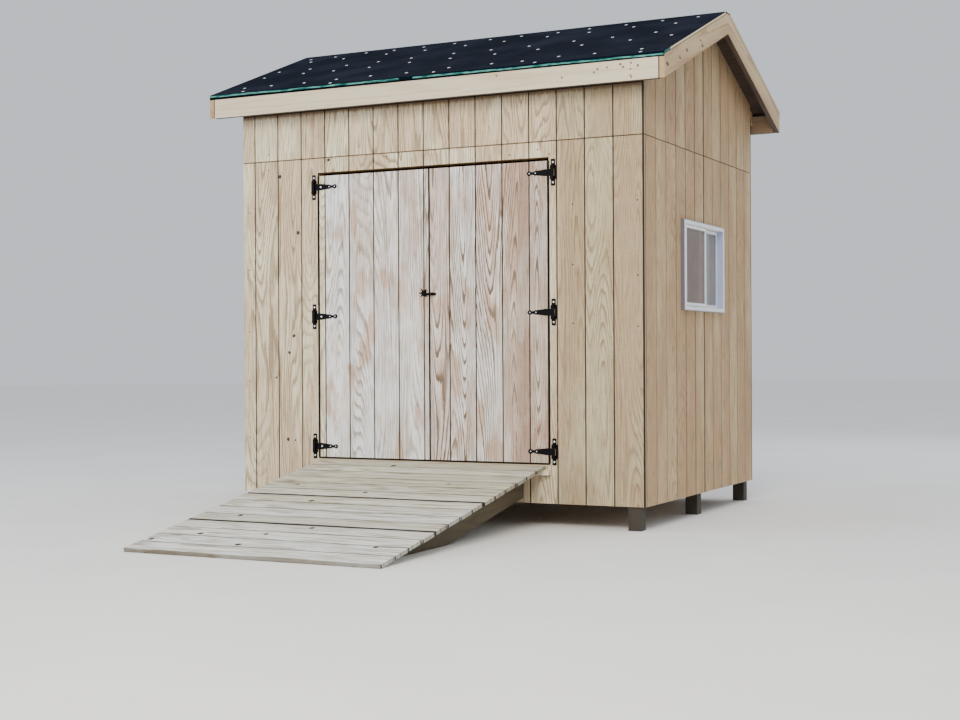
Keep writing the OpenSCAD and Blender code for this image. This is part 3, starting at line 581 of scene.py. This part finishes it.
def ramp_material():
    """Weathered ramp boards: each with its own tone and grain, knots, and painted shade at edges
    and joints.
    """
    g = Graph("ramp_wood", roughness=0.8)
    x, y, z = g.position()
    level = g.times(g.minus(RAMP_HEAD_Y, y), math.cos(RAMP_ANGLE))
    drop = g.times(g.minus(RAMP_HEAD_Z, z), math.sin(RAMP_ANGLE))
    run = g.plus(level, drop)
    pitch = RAMP_BOARD_W + RAMP_BOARD_GAP
    board = g.math("FLOOR", g.math("DIVIDE", run, pitch))
    place = g.minus(run, g.times(board, pitch))
    own = g.plus(g.times(board, 5.7), 1.3)
    rings = growth_rings(g, place, x, own, 9.0, 0.45, 12.0)
    fine = fibres(g, place, x, own)

    luck = g.chance(g.plus(board, 0.37))
    pale = g.ease(g.plus(g.times(run, 1 / RAMP_LEN), g.times(luck, 0.5)), 0.3, 1.2)
    toning = g.times(g.chance(g.plus(board, 0.81)), g.plus(g.times(pale, -0.35), 0.5))
    shade = g.mix(toning, g.mix(pale, *RAMP_GROUND), RAMP_TONING)
    grain = g.plus(g.times(rings, 0.5), g.times(streaks(g, place, x, own), 0.4))
    shade = g.toned(0.45, g.mix(grain, shade, RAMP_GRAIN), fine, RAMP_TONES)
    shade = g.mix(marks(g, x, run, RAMP_KNOTS), shade, RAMP_KNOT)
    spread, pick = g.cells(x, place, 3.2, own)
    pins = g.times(g.ease(spread, *PIN_KNOT_FADE), g.under(pick, 0.5))
    shade = g.mix(g.times(pins, 0.8), shade, RAMP_PIN_KNOT)

    # Painted shade along the boards' rims, in the dark joints, and on the ends by each joint
    to_edge = g.math("MINIMUM", place, g.minus(RAMP_BOARD_W, place))
    shade = g.mix(g.times(g.ease(to_edge, *RIM_FADE), 0.7), shade, RAMP_RIM)
    joints = 0.0
    for number in DARK_JOINTS:
        after = g.apart(run, (number + 1) * pitch - RAMP_BOARD_GAP / 2)
        joints = g.most(joints, g.ease(after, *DARK_JOINT_FADE))
    sawn_end = g.ease(g.size(g.facing()[0]), 0.7, 0.9)
    shade = g.mix(g.times(sawn_end, 0.5), g.mix(joints, shade, RAMP_JOINT), RAMP_END)
    corner_shade = g.times(sawn_end, g.ease(to_edge, *CORNER_SHADE_FADE))
    g.colour(g.mix(corner_shade, shade, RAMP_CORNER_SHADE))
    g.relief(g.plus(g.times(fine, 0.6), g.times(rings, 0.6)), 0.0012)
    return g.material


# Roof sheets: their cut edge, the painted shadow under it, and their undersides, dark with painted
# shade
SHEET_CUT = (srgb(232, 214, 176), srgb(196, 168, 122))
SHEET_LINE = srgb(70, 50, 34)
SHEET_UNDERSIDE_SHADE = (srgb(66, 48, 34), srgb(40, 28, 20))
# The felt's teal side, turned over the front sheet's right edge, and how far back that goes
TEAL_LAP = srgb(24, 104, 98)
TEAL_LAP_Y = (-0.20, -0.23)
# Height over the sheet's underside where the painted shadow under its cut edge fades in
SHEET_LINE_FADE = (0.006, 0.0035)


def roof_sheet_material():
    """Roof sheets: a cream cut edge with a painted shadow line under it, and undersides brown with
    painted shade.
    """
    g = Graph("roof_sheets", roughness=0.8)
    x, y, z = g.position()
    run = g.apart(y, RIDGE_Y)
    under = g.minus(SHEET_UNDER_RIDGE_Z, g.times(run, math.tan(ROOF_PITCH)))
    height = g.times(g.minus(z, under), math.cos(ROOF_PITCH))
    grain = streaks(g, run, x, 3.0)
    rings = growth_rings(g, run, x, 3.0, 3.0, 0.5, 14.0)
    lapped = g.times(g.ease(y, *TEAL_LAP_Y), g.ease(x, 0.0, 0.1))
    edge = g.mix(lapped, g.mix(g.times(grain, 0.3), *SHEET_CUT), TEAL_LAP)
    edge = g.mix(g.ease(height, *SHEET_LINE_FADE), edge, SHEET_LINE)
    brown = g.mix(g.plus(g.times(rings, 0.5), g.times(grain, 0.2)), *SHEET_UNDERSIDE_SHADE)
    g.colour(g.mix(g.ease(g.facing()[2], *LOOKS_DOWN), edge, brown))
    g.relief(g.plus(grain, rings), 0.0005)
    return g.material


# Threshold: its pale front edge, and its top, dark with painted shade
THRESHOLD_EDGE = (srgb(206, 188, 154), srgb(160, 134, 98))
THRESHOLD_SHADED_TOP = (srgb(40, 30, 22), srgb(62, 48, 34))
THRESHOLD_TOP_Z = (FLOOR_Z - 0.0035, FLOOR_Z - 0.0015)


def threshold_material():
    """Floor strip in the doorway: pale front edge, and a top dark with painted shade under the
    leaves.
    """
    g = Graph("threshold_wood", roughness=0.8)
    x, y, z = g.position()
    grain = streaks(g, z, x, 5.0)
    rings = growth_rings(g, y, x, 5.0, 6.0, 0.5, 9.0)
    pale = g.mix(g.times(grain, 0.4), *THRESHOLD_EDGE)
    shaded_top = g.mix(g.plus(g.times(rings, 0.3), g.times(grain, 0.3)), *THRESHOLD_SHADED_TOP)
    g.colour(g.mix(g.ease(z, *THRESHOLD_TOP_Z), pale, shaded_top))
    g.relief(grain, 0.0005)
    return g.material


def dull_steel(name, colour, roughness, metallic=1.0, sheen=0.5):
    """Metal or its paint, with spots of a darker tone."""
    g = Graph(name, roughness=roughness)
    g.shader.inputs["Specular IOR Level"].default_value = sheen
    g.shader.inputs["Metallic"].default_value = metallic
    spots = g.noise(g.place(), scale=260.0, detail=3.0)
    darker = tuple(0.6 * c for c in colour[:3]) + (1.0,)
    g.colour(g.mix(g.ease(spots, 0.35, 0.7), colour, darker))
    g.relief(spots, 0.0002)
    return g.material


FELT_NAVY = (srgb(30, 34, 43), srgb(40, 45, 56))
HEM_TEAL = (srgb(18, 84, 82), srgb(96, 160, 150))
# The hem over the teal band, and the painted shadow under it
HEM_DARK_AND_SHADOW = (srgb(10, 22, 32), srgb(10, 14, 18))
# Heights over the fascia's foot where the band's foot and its head fade in, and the painted shadow
# under it
BAND_FOOT = (0.1495, 0.1525)
BAND_HEAD = (0.1635, 0.1605)
UNDER_BAND = (0.152, 0.150)
# How much the band falls for each metre to the right, and how much it waves
BAND_FALL = 0.003
BAND_WAVE = 0.012
# A break in the band: its middle, and how far from it the band fades in
BREAK_X = -0.113
BREAK_REACH = (0.050, 0.060)


def felt_material():
    """Navy roofing felt. Its hem has a band of teal between two near-black tones, the lower a
    painted shadow.
    """
    g = Graph("felt_navy", roughness=1.0)
    g.shader.inputs["Specular IOR Level"].default_value = 0.0
    x, y, z = g.position()
    weave = g.noise(g.place(), scale=500.0)
    folds = g.noise(g.vector(g.times(x, 1.3), g.times(y, 5.0), z), scale=1.6, detail=3.0)
    dust_and_shade = g.noise(g.place(), scale=3.0, detail=4.0)
    navy = g.mix(g.ease(dust_and_shade, 0.35, 0.75), *FELT_NAVY)
    wave = g.times(g.minus(g.noise(g.vector(g.times(x, 2.2))), 0.5), BAND_WAVE)
    height = g.plus(g.plus(g.minus(z, FASCIA_FOOT_Z), wave), g.times(x, BAND_FALL))
    whole = g.ease(g.apart(x, BREAK_X), *BREAK_REACH)
    band = g.times(g.times(g.ease(height, *BAND_FOOT), g.ease(height, *BAND_HEAD)), whole)
    worn = g.noise(g.vector(g.times(x, 12.0), g.times(y, 12.0), g.times(z, 90.0)), detail=3.0)
    teal = g.mix(g.ease(worn, 0.38, 0.60), *HEM_TEAL)
    hem = g.mix(band, g.mix(g.ease(height, *UNDER_BAND), *HEM_DARK_AND_SHADOW), teal)
    g.colour(g.mix(g.ease(g.size(g.facing()[1]), 0.75, 0.95), navy, hem))
    g.relief(g.plus(folds, g.times(weave, 0.05)), 0.006, 0.7)
    return g.material


VINYL_WHITE = (srgb(244, 245, 246), srgb(228, 229, 231))
# Window frame: its reveals, blue with painted light from the sky, and its outer sides
JAMB_SKYLIGHT_BLUE = srgb(168, 182, 214)
FLANGE_GREY = srgb(104, 102, 114)
# How far in from a window part's head and foot, and from its faces, the painted shade and the
# grey sides begin and are full
SHADE_RIM = (0.0065, 0.0045)
FLANGE_RIM = (0.004, 0.002)


def vinyl_material(name, node):
    """White vinyl of a window part: a dark line of painted shade along its head and foot, and
    reveals blue with painted skylight.
    """
    g = Graph(name, roughness=0.32)
    x, y, z = g.position()
    low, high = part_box(node)
    half_w, half_h = (high.y - low.y) / 2, (high.z - low.z) / 2
    white = g.mix(g.ease(g.noise(g.place(), scale=7.0, detail=4.0), 0.45, 0.8), *VINYL_WHITE)
    upright = g.apart(z, (low.z + high.z) / 2)
    dust_and_shade = g.ease(upright, *(half_h - rim for rim in SHADE_RIM))
    white = g.mix(g.times(dust_and_shade, 0.75), white, FLANGE_GREY)
    out = g.apart(y, (low.y + high.y) / 2)
    flange = g.ease(out, *(half_w - rim for rim in FLANGE_RIM))
    side = g.mix(flange, JAMB_SKYLIGHT_BLUE, FLANGE_GREY)
    g.colour(g.mix(g.ease(g.size(g.facing()[1]), 0.8, 0.95), white, side))
    return g.material


# The front pane's browns are a painted reflection
FRONT_PANE_REFLECTION = (srgb(140, 104, 78), srgb(196, 158, 128))
BACK_PANE = (srgb(206, 196, 176), srgb(240, 230, 210))


def glass_material():
    """Dusty clear glass, browner in the front pane with a painted reflection."""
    g = Graph("clear_glass", roughness=0.02)
    g.shader.inputs["Transmission Weight"].default_value = 0.8
    g.shader.inputs["IOR"].default_value = 1.5
    smear = g.noise(g.place(), scale=5.0, detail=3.0)
    low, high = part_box("window_glass")
    middle = (low.y + high.y) / 2
    back = g.ease(g.position()[1], middle - 0.01, middle + 0.01)
    g.colour(g.mix(back, g.mix(smear, *FRONT_PANE_REFLECTION), g.mix(smear, *BACK_PANE)))
    return g.material


def plain(name, colour, other, scale, roughness):
    """An even material in two close tones."""
    g = Graph(name, roughness=roughness)
    tone = g.noise(g.place(), scale=scale, detail=3.0)
    g.colour(g.mix(g.ease(tone, 0.35, 0.65), colour, other))
    g.relief(tone, 0.0003)
    return g.material


def paint(node, *materials):
    """Gives a CAD node its materials."""
    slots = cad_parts[node].data.materials
    slots.clear()
    for material in materials:
        slots.append(material)


def solids_of(mesh):
    """The faces of a mesh as lists, one for each solid. Corners at one place count as one."""
    owner = {}
    corner = []
    for vertex in mesh.vertices:
        corner.append(tuple(round(c, 5) for c in vertex.co))
        owner.setdefault(corner[-1], corner[-1])

    def root(key):
        while owner[key] != key:
            owner[key] = owner[owner[key]]
            key = owner[key]
        return key

    for polygon in mesh.polygons:
        keys = [corner[i] for i in polygon.vertices]
        for key in keys[1:]:
            owner[root(key)] = root(keys[0])
    groups = {}
    for polygon in mesh.polygons:
        groups.setdefault(root(corner[polygon.vertices[0]]), []).append(polygon)
    return list(groups.values())


def paint_along_grain(node, materials):
    """Gives each solid of a node the material whose grain runs along its longest side."""
    paint(node, *materials)
    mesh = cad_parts[node].data
    for faces in solids_of(mesh):
        corners = [mesh.vertices[i].co for face in faces for i in face.vertices]
        sides = [max(c[k] for c in corners) - min(c[k] for c in corners) for k in range(3)]
        for face in faces:
            face.material_index = sides.index(max(sides))


# Corners closer than this are welded before a bevel, and edges that turn less aren't bevelled
WELD_REACH = 0.00002
BEVEL_ANGLE = math.radians(40)


def soften(node, width):
    """Rounds a CAD node's sharp edges a little."""
    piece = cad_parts[node]
    weld = piece.modifiers.new("weld", "WELD")
    weld.merge_threshold = WELD_REACH
    bevel = piece.modifiers.new("soft_edges", "BEVEL")
    bevel.width = width
    bevel.segments = 2
    bevel.limit_method = "ANGLE"
    bevel.angle_limit = BEVEL_ANGLE


def made_object(name, fill, material):
    """One object with the mesh that fill builds."""
    shape = bmesh.new()
    fill(shape)
    mesh = bpy.data.meshes.new(name)
    shape.to_mesh(mesh)
    shape.free()
    mesh.materials.append(material)
    made = bpy.data.objects.new(name, mesh)
    bpy.context.scene.collection.objects.link(made)
    return made


def turned(shape, place, outward, profile, sides):
    """Adds a body of revolution: profile is (radius, height) pairs along outward from place."""
    turn = Vector(outward).to_track_quat("Z", "Y").to_matrix().to_4x4()
    at = Matrix.Translation(place) @ turn
    rings = []
    for radius, height in profile:
        ring = []
        for k in range(sides):
            angle = 2 * math.pi * k / sides
            spot = Vector((radius * math.cos(angle), radius * math.sin(angle), height))
            ring.append(shape.verts.new(at @ spot))
        rings.append(ring)
    for low, high in zip(rings, rings[1:]):
        for k in range(sides):
            n = (k + 1) % sides
            shape.faces.new((low[k], low[n], high[n], high[k]))
    shape.faces.new(rings[-1])
    shape.faces.new(list(reversed(rings[0])))


def studs_in(name, places, outward, profile, material, body, sides=12):
    """One piece that holds a fastener head at each place."""

    def fill(shape):
        for place in places:
            turned(shape, place, outward, profile, sides)

    piece = made_object(name, fill, material)
    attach(piece, body)
    for polygon in piece.data.polygons:
        polygon.use_smooth = len(polygon.vertices) == 4


# Knots of the front wall: to the right, height and radius
FRONT_KNOTS = (
    (-1.2595, 2.485, 0.017), (-1.102, 2.065, 0.016), (-1.144, 1.312, 0.016),
    (-1.183, 1.190, 0.014), (-1.197, 0.553, 0.015), (-1.299, 1.006, 0.010),
    (-0.8375, 2.581, 0.015), (-1.134, 0.548, 0.009),
)
# Knots of the right rake boards: to the back, height and radius
RAKE_KNOTS = (
    (-0.276, 3.024, 0.015), (-0.030, 3.107, 0.011), (0.112, 3.181, 0.013),
    (0.443, 3.271, 0.013), (0.405, 3.300, 0.009),
)
# Small knots and a crack of the front fascia: to the right, height and radius
FASCIA_KNOTS = (
    (1.477, 3.039, 0.010), (1.495, 3.019, 0.010), (1.598, 3.020, 0.010), (1.318, 3.021, 0.008),
    (1.292, 3.002, 0.008), (1.385, 3.026, 0.007), (1.549, 3.041, 0.007), (1.546, 3.003, 0.007),
    (1.546, 2.963, 0.007), (1.551, 2.951, 0.008), (0.587, 3.044, 0.008), (1.063, 2.989, 0.007),
)
# How bleached each strip of a leaf is, by its number from the shed's right end: top, then foot
LEFT_BLEACH = (
    {11: 0.95, 10: 0.45, 9: 0.5, 8: 0.35, 7: 0.6}, {11: 1.0, 10: 1.0, 9: 0.85, 8: 0.65, 7: 0.5},
)
RIGHT_BLEACH = (
    {7: 0.35, 6: 0.6, 5: 0.4, 4: 0.05, 3: 0.75}, {7: 0.45, 6: 0.5, 5: 0.75, 4: 0.2, 3: 0.0},
)
# Where siding is darker along its wall's axis: begins, is full, and the colour
BY_DOOR = (0.90, 1.02, DULL)
ON_LEAF = (DOOR_X + 0.45, DOOR_X + 0.80, TANNED)
# Painted shade over the whole of the side and back walls
AT_END = (-9.0, -8.0, ENDS_PAINTED_SHADE)

front_siding = siding(
    "siding_front", WALL_WOOD, "x", RIGHT_EDGE, FRONT_Y,
    figure=0.55, seed=0.0, dull=BY_DOOR, knots=FRONT_KNOTS,
)
back_siding = siding(
    "siding_back", WALL_WOOD, "x", -RIGHT_EDGE, BACK_Y, figure=0.55, seed=20.0, dull=AT_END
)
right_siding = siding(
    "siding_right", WALL_WOOD, "y", FRAME_FRONT_Y, SIDE_X, figure=0.35, seed=40.0, dull=AT_END
)
left_siding = siding(
    "siding_left", WALL_WOOD, "y", FRAME_FRONT_Y, -SIDE_X, figure=0.35, seed=60.0, dull=AT_END
)
left_leaf = siding(
    "siding_left_leaf", DOOR_WOOD, "x", RIGHT_EDGE, FRONT_Y,
    figure=0.55, seed=80.0, dull=ON_LEAF, bleach=LEFT_BLEACH,
)
right_leaf = siding(
    "siding_right_leaf", DOOR_WOOD, "x", RIGHT_EDGE, FRONT_Y,
    figure=1.0, seed=93.4, dull=ON_LEAF, bleach=RIGHT_BLEACH,
)
framing = [lumber(f"framing_{axis}", axis, FRAMING_WOOD) for axis in "xyz"]
fascia_wood = lumber(
    "trim_x", "x", TRIM_WOOD, knots=0.4, roughness=0.6, under=TRIM_UNDERSIDE_SHADE, big=FASCIA_KNOTS
)
rake_wood = lumber(
    "trim_slope", "slope", RAKE_WOOD, roughness=0.6, under=TRIM_UNDERSIDE_SHADE, figure=0.6, big=RAKE_KNOTS
)
black = dull_steel("black_steel", srgb(5, 5, 8), 0.5, metallic=0.0, sheen=0.12)
zinc = dull_steel("zinc", srgb(250, 251, 253), 0.35, metallic=0.3)
nail_steel = dull_steel("nail_steel", srgb(26, 20, 16), 0.7, metallic=0.0, sheen=0.2)
cap_plastic = plain("cap_plastic", srgb(236, 238, 240), srgb(214, 218, 222), 60.0, 0.45)

FASCIAS = ("front_fascia", "back_fascia")
RAKES = ("right_rake_boards", "left_rake_boards")
for material, nodes in (
    (front_siding, (
        "front_wall_left", "front_wall_right", "front_wall_over_door", "front_wall_under_door",
        "front_wall_upper",
    )),
    (right_siding, (
        "right_wall_front", "right_wall_back", "right_wall_over_window",
        "right_wall_under_window", "right_gable",
    )),
    (left_siding, ("left_wall", "left_gable")),
    (back_siding, ("back_wall", "back_wall_upper")),
    (left_leaf, ("left_door_panel",)),
    (right_leaf, ("right_door_panel",)),
    (lumber("framing_slope", "slope", FRAMING_WOOD), ("rafters",)),
    (lumber("sheet_wood", "x", FLOOR_WOOD, knots=0.2), ("floor_deck",)),
    (lumber("post_wood_shaded", "z", SHADED_POST_WOOD), ("posts",)),
    (lumber("bearer_wood", "y", BEARER_WOOD), ("ramp_stringers",)),
    (lumber("ledger_wood", "x", LEDGER_WOOD, under=TRIM_UNDERSIDE_SHADE), ("ramp_ledger",)),
    (fascia_wood, FASCIAS),
    (rake_wood, RAKES),
    (ramp_material(), ("ramp_deck",)),
    (threshold_material(), ("threshold",)),
    (roof_sheet_material(), ("roof_sheathing",)),
    (felt_material(), ("roof_felt",)),
    (vinyl_material("white_vinyl", "window_frame"), ("window_frame",)),
    (vinyl_material("sash_vinyl", "window_sashes"), ("window_sashes",)),
    (glass_material(), ("window_glass",)),
    (black, (
        "hinge_plates", "left_door_straps", "right_door_straps", "door_latch", "latch_keeper",
    )),
):
    for node in nodes:
        paint(node, material)
for node in (
    "floor_beams", "floor_joists", "front_framing", "back_framing", "side_framing",
    "ridge_board", "left_door_frame", "right_door_frame",
):
    paint_along_grain(node, framing)

# Width of the rounding of each kind of edge
TRIM_ROUND = 0.0025
RAMP_ROUND = 0.006
VINYL_ROUND = 0.0015
for node in FASCIAS + RAKES:
    soften(node, TRIM_ROUND)
soften("ramp_deck", RAMP_ROUND)
for node in ("window_frame", "window_sashes"):
    soften(node, VINYL_ROUND)

# Cap nails of the felt: rows by their distance up the slope, and the pitch along each
CAP_ROWS = (
    (0.045, 0.74), (0.155, 0.29), (0.58, 0.325), (0.785, 0.318), (1.13, 0.34), (1.285, 0.27),
)
CAP_PROFILE = ((0.0118, 0.0), (0.0118, 0.0012), (0.009, 0.0022), (0.003, 0.0026))
CAP_FROM_LEFT = 0.06
CAP_FROM_RIGHT = 0.05
CAP_SCATTER = 0.022
CAP_FROM_EAVE = 0.02
CAP_SUNK = 0.0002


def cap_nails(name, side):
    """Cap nails on one slope: side is -1 at the front and 1 at the back."""
    dice = random.Random(11 + side)
    outward = Vector((0, side * math.sin(ROOF_PITCH), math.cos(ROOF_PITCH)))
    half_run = RIDGE_Y - EAVE_Y
    places = []
    for distance, pitch in CAP_ROWS:
        x = -ROOF_X + CAP_FROM_LEFT + dice.random() * pitch / 2
        while x < ROOF_X - CAP_FROM_RIGHT:
            up = distance + dice.uniform(-CAP_SCATTER, CAP_SCATTER)
            run = half_run - max(CAP_FROM_EAVE, up) * math.cos(ROOF_PITCH)
            z = ROOF_TOP_Z - (run - RIDGE_SLOT) * math.tan(ROOF_PITCH)
            places.append(Vector((x, RIDGE_Y + side * run, z)) - outward * CAP_SUNK)
            x += pitch * dice.uniform(0.82, 1.18)
    studs_in(name, places, outward, CAP_PROFILE, cap_plastic, "shed", sides=14)


cap_nails("cap_nails_front", -1)
cap_nails("cap_nails_back", 1)

# Siding nails: flat heads on the face, on the studs' lines
NAIL_PROFILE = ((0.0052, 0.0), (0.0052, 0.0006), (0.004, 0.001))
NAIL_PITCH = 0.4
NAIL_FROM_FOOT = 0.04
NAIL_FROM_HEAD = 0.03
NAIL_SCATTER = 0.012
CORNER_NAILS_X = -1.535
BACK_NAILS_X = (-1.535, -1.02, -0.51, 0.0, 0.51, 1.02, 1.535)
# Nails that stand out on the front wall: to the right, and height
FRONT_NAILS = (
    (1.0745, 2.166), (1.0745, 1.764), (1.0745, 1.370), (1.5355, 2.171), (1.5355, 1.680),
    (1.5355, 1.345), (-0.946, 2.161), (-0.946, 1.599), (-1.356, 2.651), (-1.356, 2.533),
    (0.6125, 2.524), (0.8205, 2.547), (0.9085, 2.512), (-0.3505, 2.575),
)


def nail_heads(name, places, outward, sides):
    """Siding nails at some places of a wall."""
    studs_in(name, places, outward, NAIL_PROFILE, nail_steel, "shed", sides=sides)


def nail_lines(name, lines, face, outward):
    """Nail heads up each line of the front or the back wall, from its foot to the sheet's top."""
    dice = random.Random(name)
    places = []
    for line in lines:
        z = SIDING_FOOT_Z + NAIL_FROM_FOOT
        while z < SHEET_TOP_Z - NAIL_FROM_HEAD:
            shift = dice.uniform(-NAIL_SCATTER, NAIL_SCATTER)
            places.append(Vector((line + shift, face, z)))
            z += NAIL_PITCH * dice.uniform(0.85, 1.15)
    nail_heads(name, places, outward, 8)


FORWARD = (0, -1, 0)
BACKWARD = (0, 1, 0)
nail_heads("nails_front", [Vector((x, FRONT_Y, z)) for x, z in FRONT_NAILS], FORWARD, 10)
nail_lines("nails_corner", (CORNER_NAILS_X,), FRONT_Y, FORWARD)
nail_lines("nails_back", BACK_NAILS_X, BACK_Y, BACKWARD)

# Screws of the hinges, by their places on a hinge: on the plate's ends and along the strap
SCREW_PROFILE = ((0.0072, 0.0), (0.007, 0.0012), (0.0052, 0.0026), (0.0022, 0.0033))
LOBE_SCREW_PROFILE = tuple((0.66 * radius, height) for radius, height in SCREW_PROFILE)
PLATE_SCREWS = (-0.068, 0.068)
LOBE_SCREWS = (0.130, 0.175)
ROOT_SCREWS = (0.059,)
# The pins' distance from the doorway's middle, and the front of the plates and straps
PIN_X = 0.9485
HINGE_FACE_Y = FRONT_Y - 0.0031


def hinge_heights():
    """Middle of each hinge, from the straps' solids."""
    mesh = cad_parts["left_door_straps"].data
    middles = []
    for faces in solids_of(mesh):
        heights = [mesh.vertices[i].co.z for face in faces for i in face.vertices]
        middles.append((min(heights) + max(heights)) / 2)
    return sorted(middles)


def screws(name, pin, across, up, profile, body):
    """Screws of one side's hinges, at each of some places across from the pin and up."""
    places = [
        Vector((pin + reach, HINGE_FACE_Y, z + rise))
        for z in hinge_heights() for reach in across for rise in up
    ]
    studs_in(name, places, FORWARD, profile, zinc, body)


for side, body in ((-1, "left_door"), (1, "right_door")):
    pin = DOOR_X + side * PIN_X
    lobes = [-side * reach for reach in LOBE_SCREWS]
    screws(f"lobe_screws_{body}", pin, lobes, (0.0,), LOBE_SCREW_PROFILE, body)
    if side < 0:
        screws(f"root_screws_{body}", pin, ROOT_SCREWS, (0.0,), SCREW_PROFILE, body)
    screws(f"plate_screws_{body}", pin, (0.0,), PLATE_SCREWS, SCREW_PROFILE, "shed")

# Floor, light and camera
FLOOR_R = 60.0


def disc(shape):
    """The studio's floor."""
    bmesh.ops.create_circle(shape, cap_ends=True, radius=FLOOR_R, segments=96)


floor_paint = plain("studio_floor", srgb(246, 246, 244), srgb(250, 250, 248), 1.0, 0.9)
floor = made_object("studio_floor", disc, floor_paint)

world = bpy.data.worlds.new("studio")
bpy.context.scene.world = world
world.use_nodes = True
sky = world.node_tree.nodes["Background"]
sky.inputs["Color"].default_value = srgb(232, 238, 246)
sky.inputs["Strength"].default_value = 0.9

# Lights: name, place, size, power and colour. All look at one point.
LIGHTS_TARGET = Vector((0.0, 0.0, 1.4))
LIGHTS = (
    ("key", (3.5, -10.0, 7.5), 6.0, 1150.0, srgb(255, 246, 232)),
    ("fill", (-9.0, -6.0, 5.0), 7.0, 350.0, srgb(232, 240, 255)),
    ("back", (2.0, 10.0, 7.0), 6.0, 200.0, srgb(244, 246, 255)),
)
for name, place, size, power, colour in LIGHTS:
    data = bpy.data.lights.new(name, "AREA")
    data.shape = "DISK"
    data.size = size
    data.energy = power
    data.color = colour[:3]
    light = bpy.data.objects.new(name, data)
    light.location = place
    light.rotation_mode = "QUATERNION"
    light.rotation_quaternion = (LIGHTS_TARGET - Vector(place)).to_track_quat("-Z", "Y")
    bpy.context.scene.collection.objects.link(light)

CAMERA_X = 5.0195
CAMERA_BEFORE_FRONT = 9.3184
CAMERA_Z = 1.1471
CAMERA_YAW = math.radians(-26.472)
CAMERA_PITCH = math.radians(-0.102)
CAMERA_ROLL = math.radians(-0.3)
FOCAL_PX = 1512.637
PHOTO_W = 960
SENSOR_W = 36.0

ahead = Vector((
    math.sin(CAMERA_YAW) * math.cos(CAMERA_PITCH),
    math.cos(CAMERA_YAW) * math.cos(CAMERA_PITCH),
    math.sin(CAMERA_PITCH),
))
level_right = Vector((math.cos(CAMERA_YAW), -math.sin(CAMERA_YAW), 0.0))
level_up = level_right.cross(ahead)
right = math.cos(CAMERA_ROLL) * level_right + math.sin(CAMERA_ROLL) * level_up
up = math.cos(CAMERA_ROLL) * level_up - math.sin(CAMERA_ROLL) * level_right
camera_data = bpy.data.cameras.new("camera")
camera_data.sensor_width = SENSOR_W
camera_data.lens = FOCAL_PX / PHOTO_W * SENSOR_W
camera = bpy.data.objects.new("camera", camera_data)
bpy.context.scene.collection.objects.link(camera)
camera_place = Matrix.Translation((CAMERA_X, FRONT_Y - CAMERA_BEFORE_FRONT, CAMERA_Z))
camera.matrix_world = camera_place @ Matrix((right, up, -ahead)).transposed().to_4x4()
bpy.context.scene.camera = camera
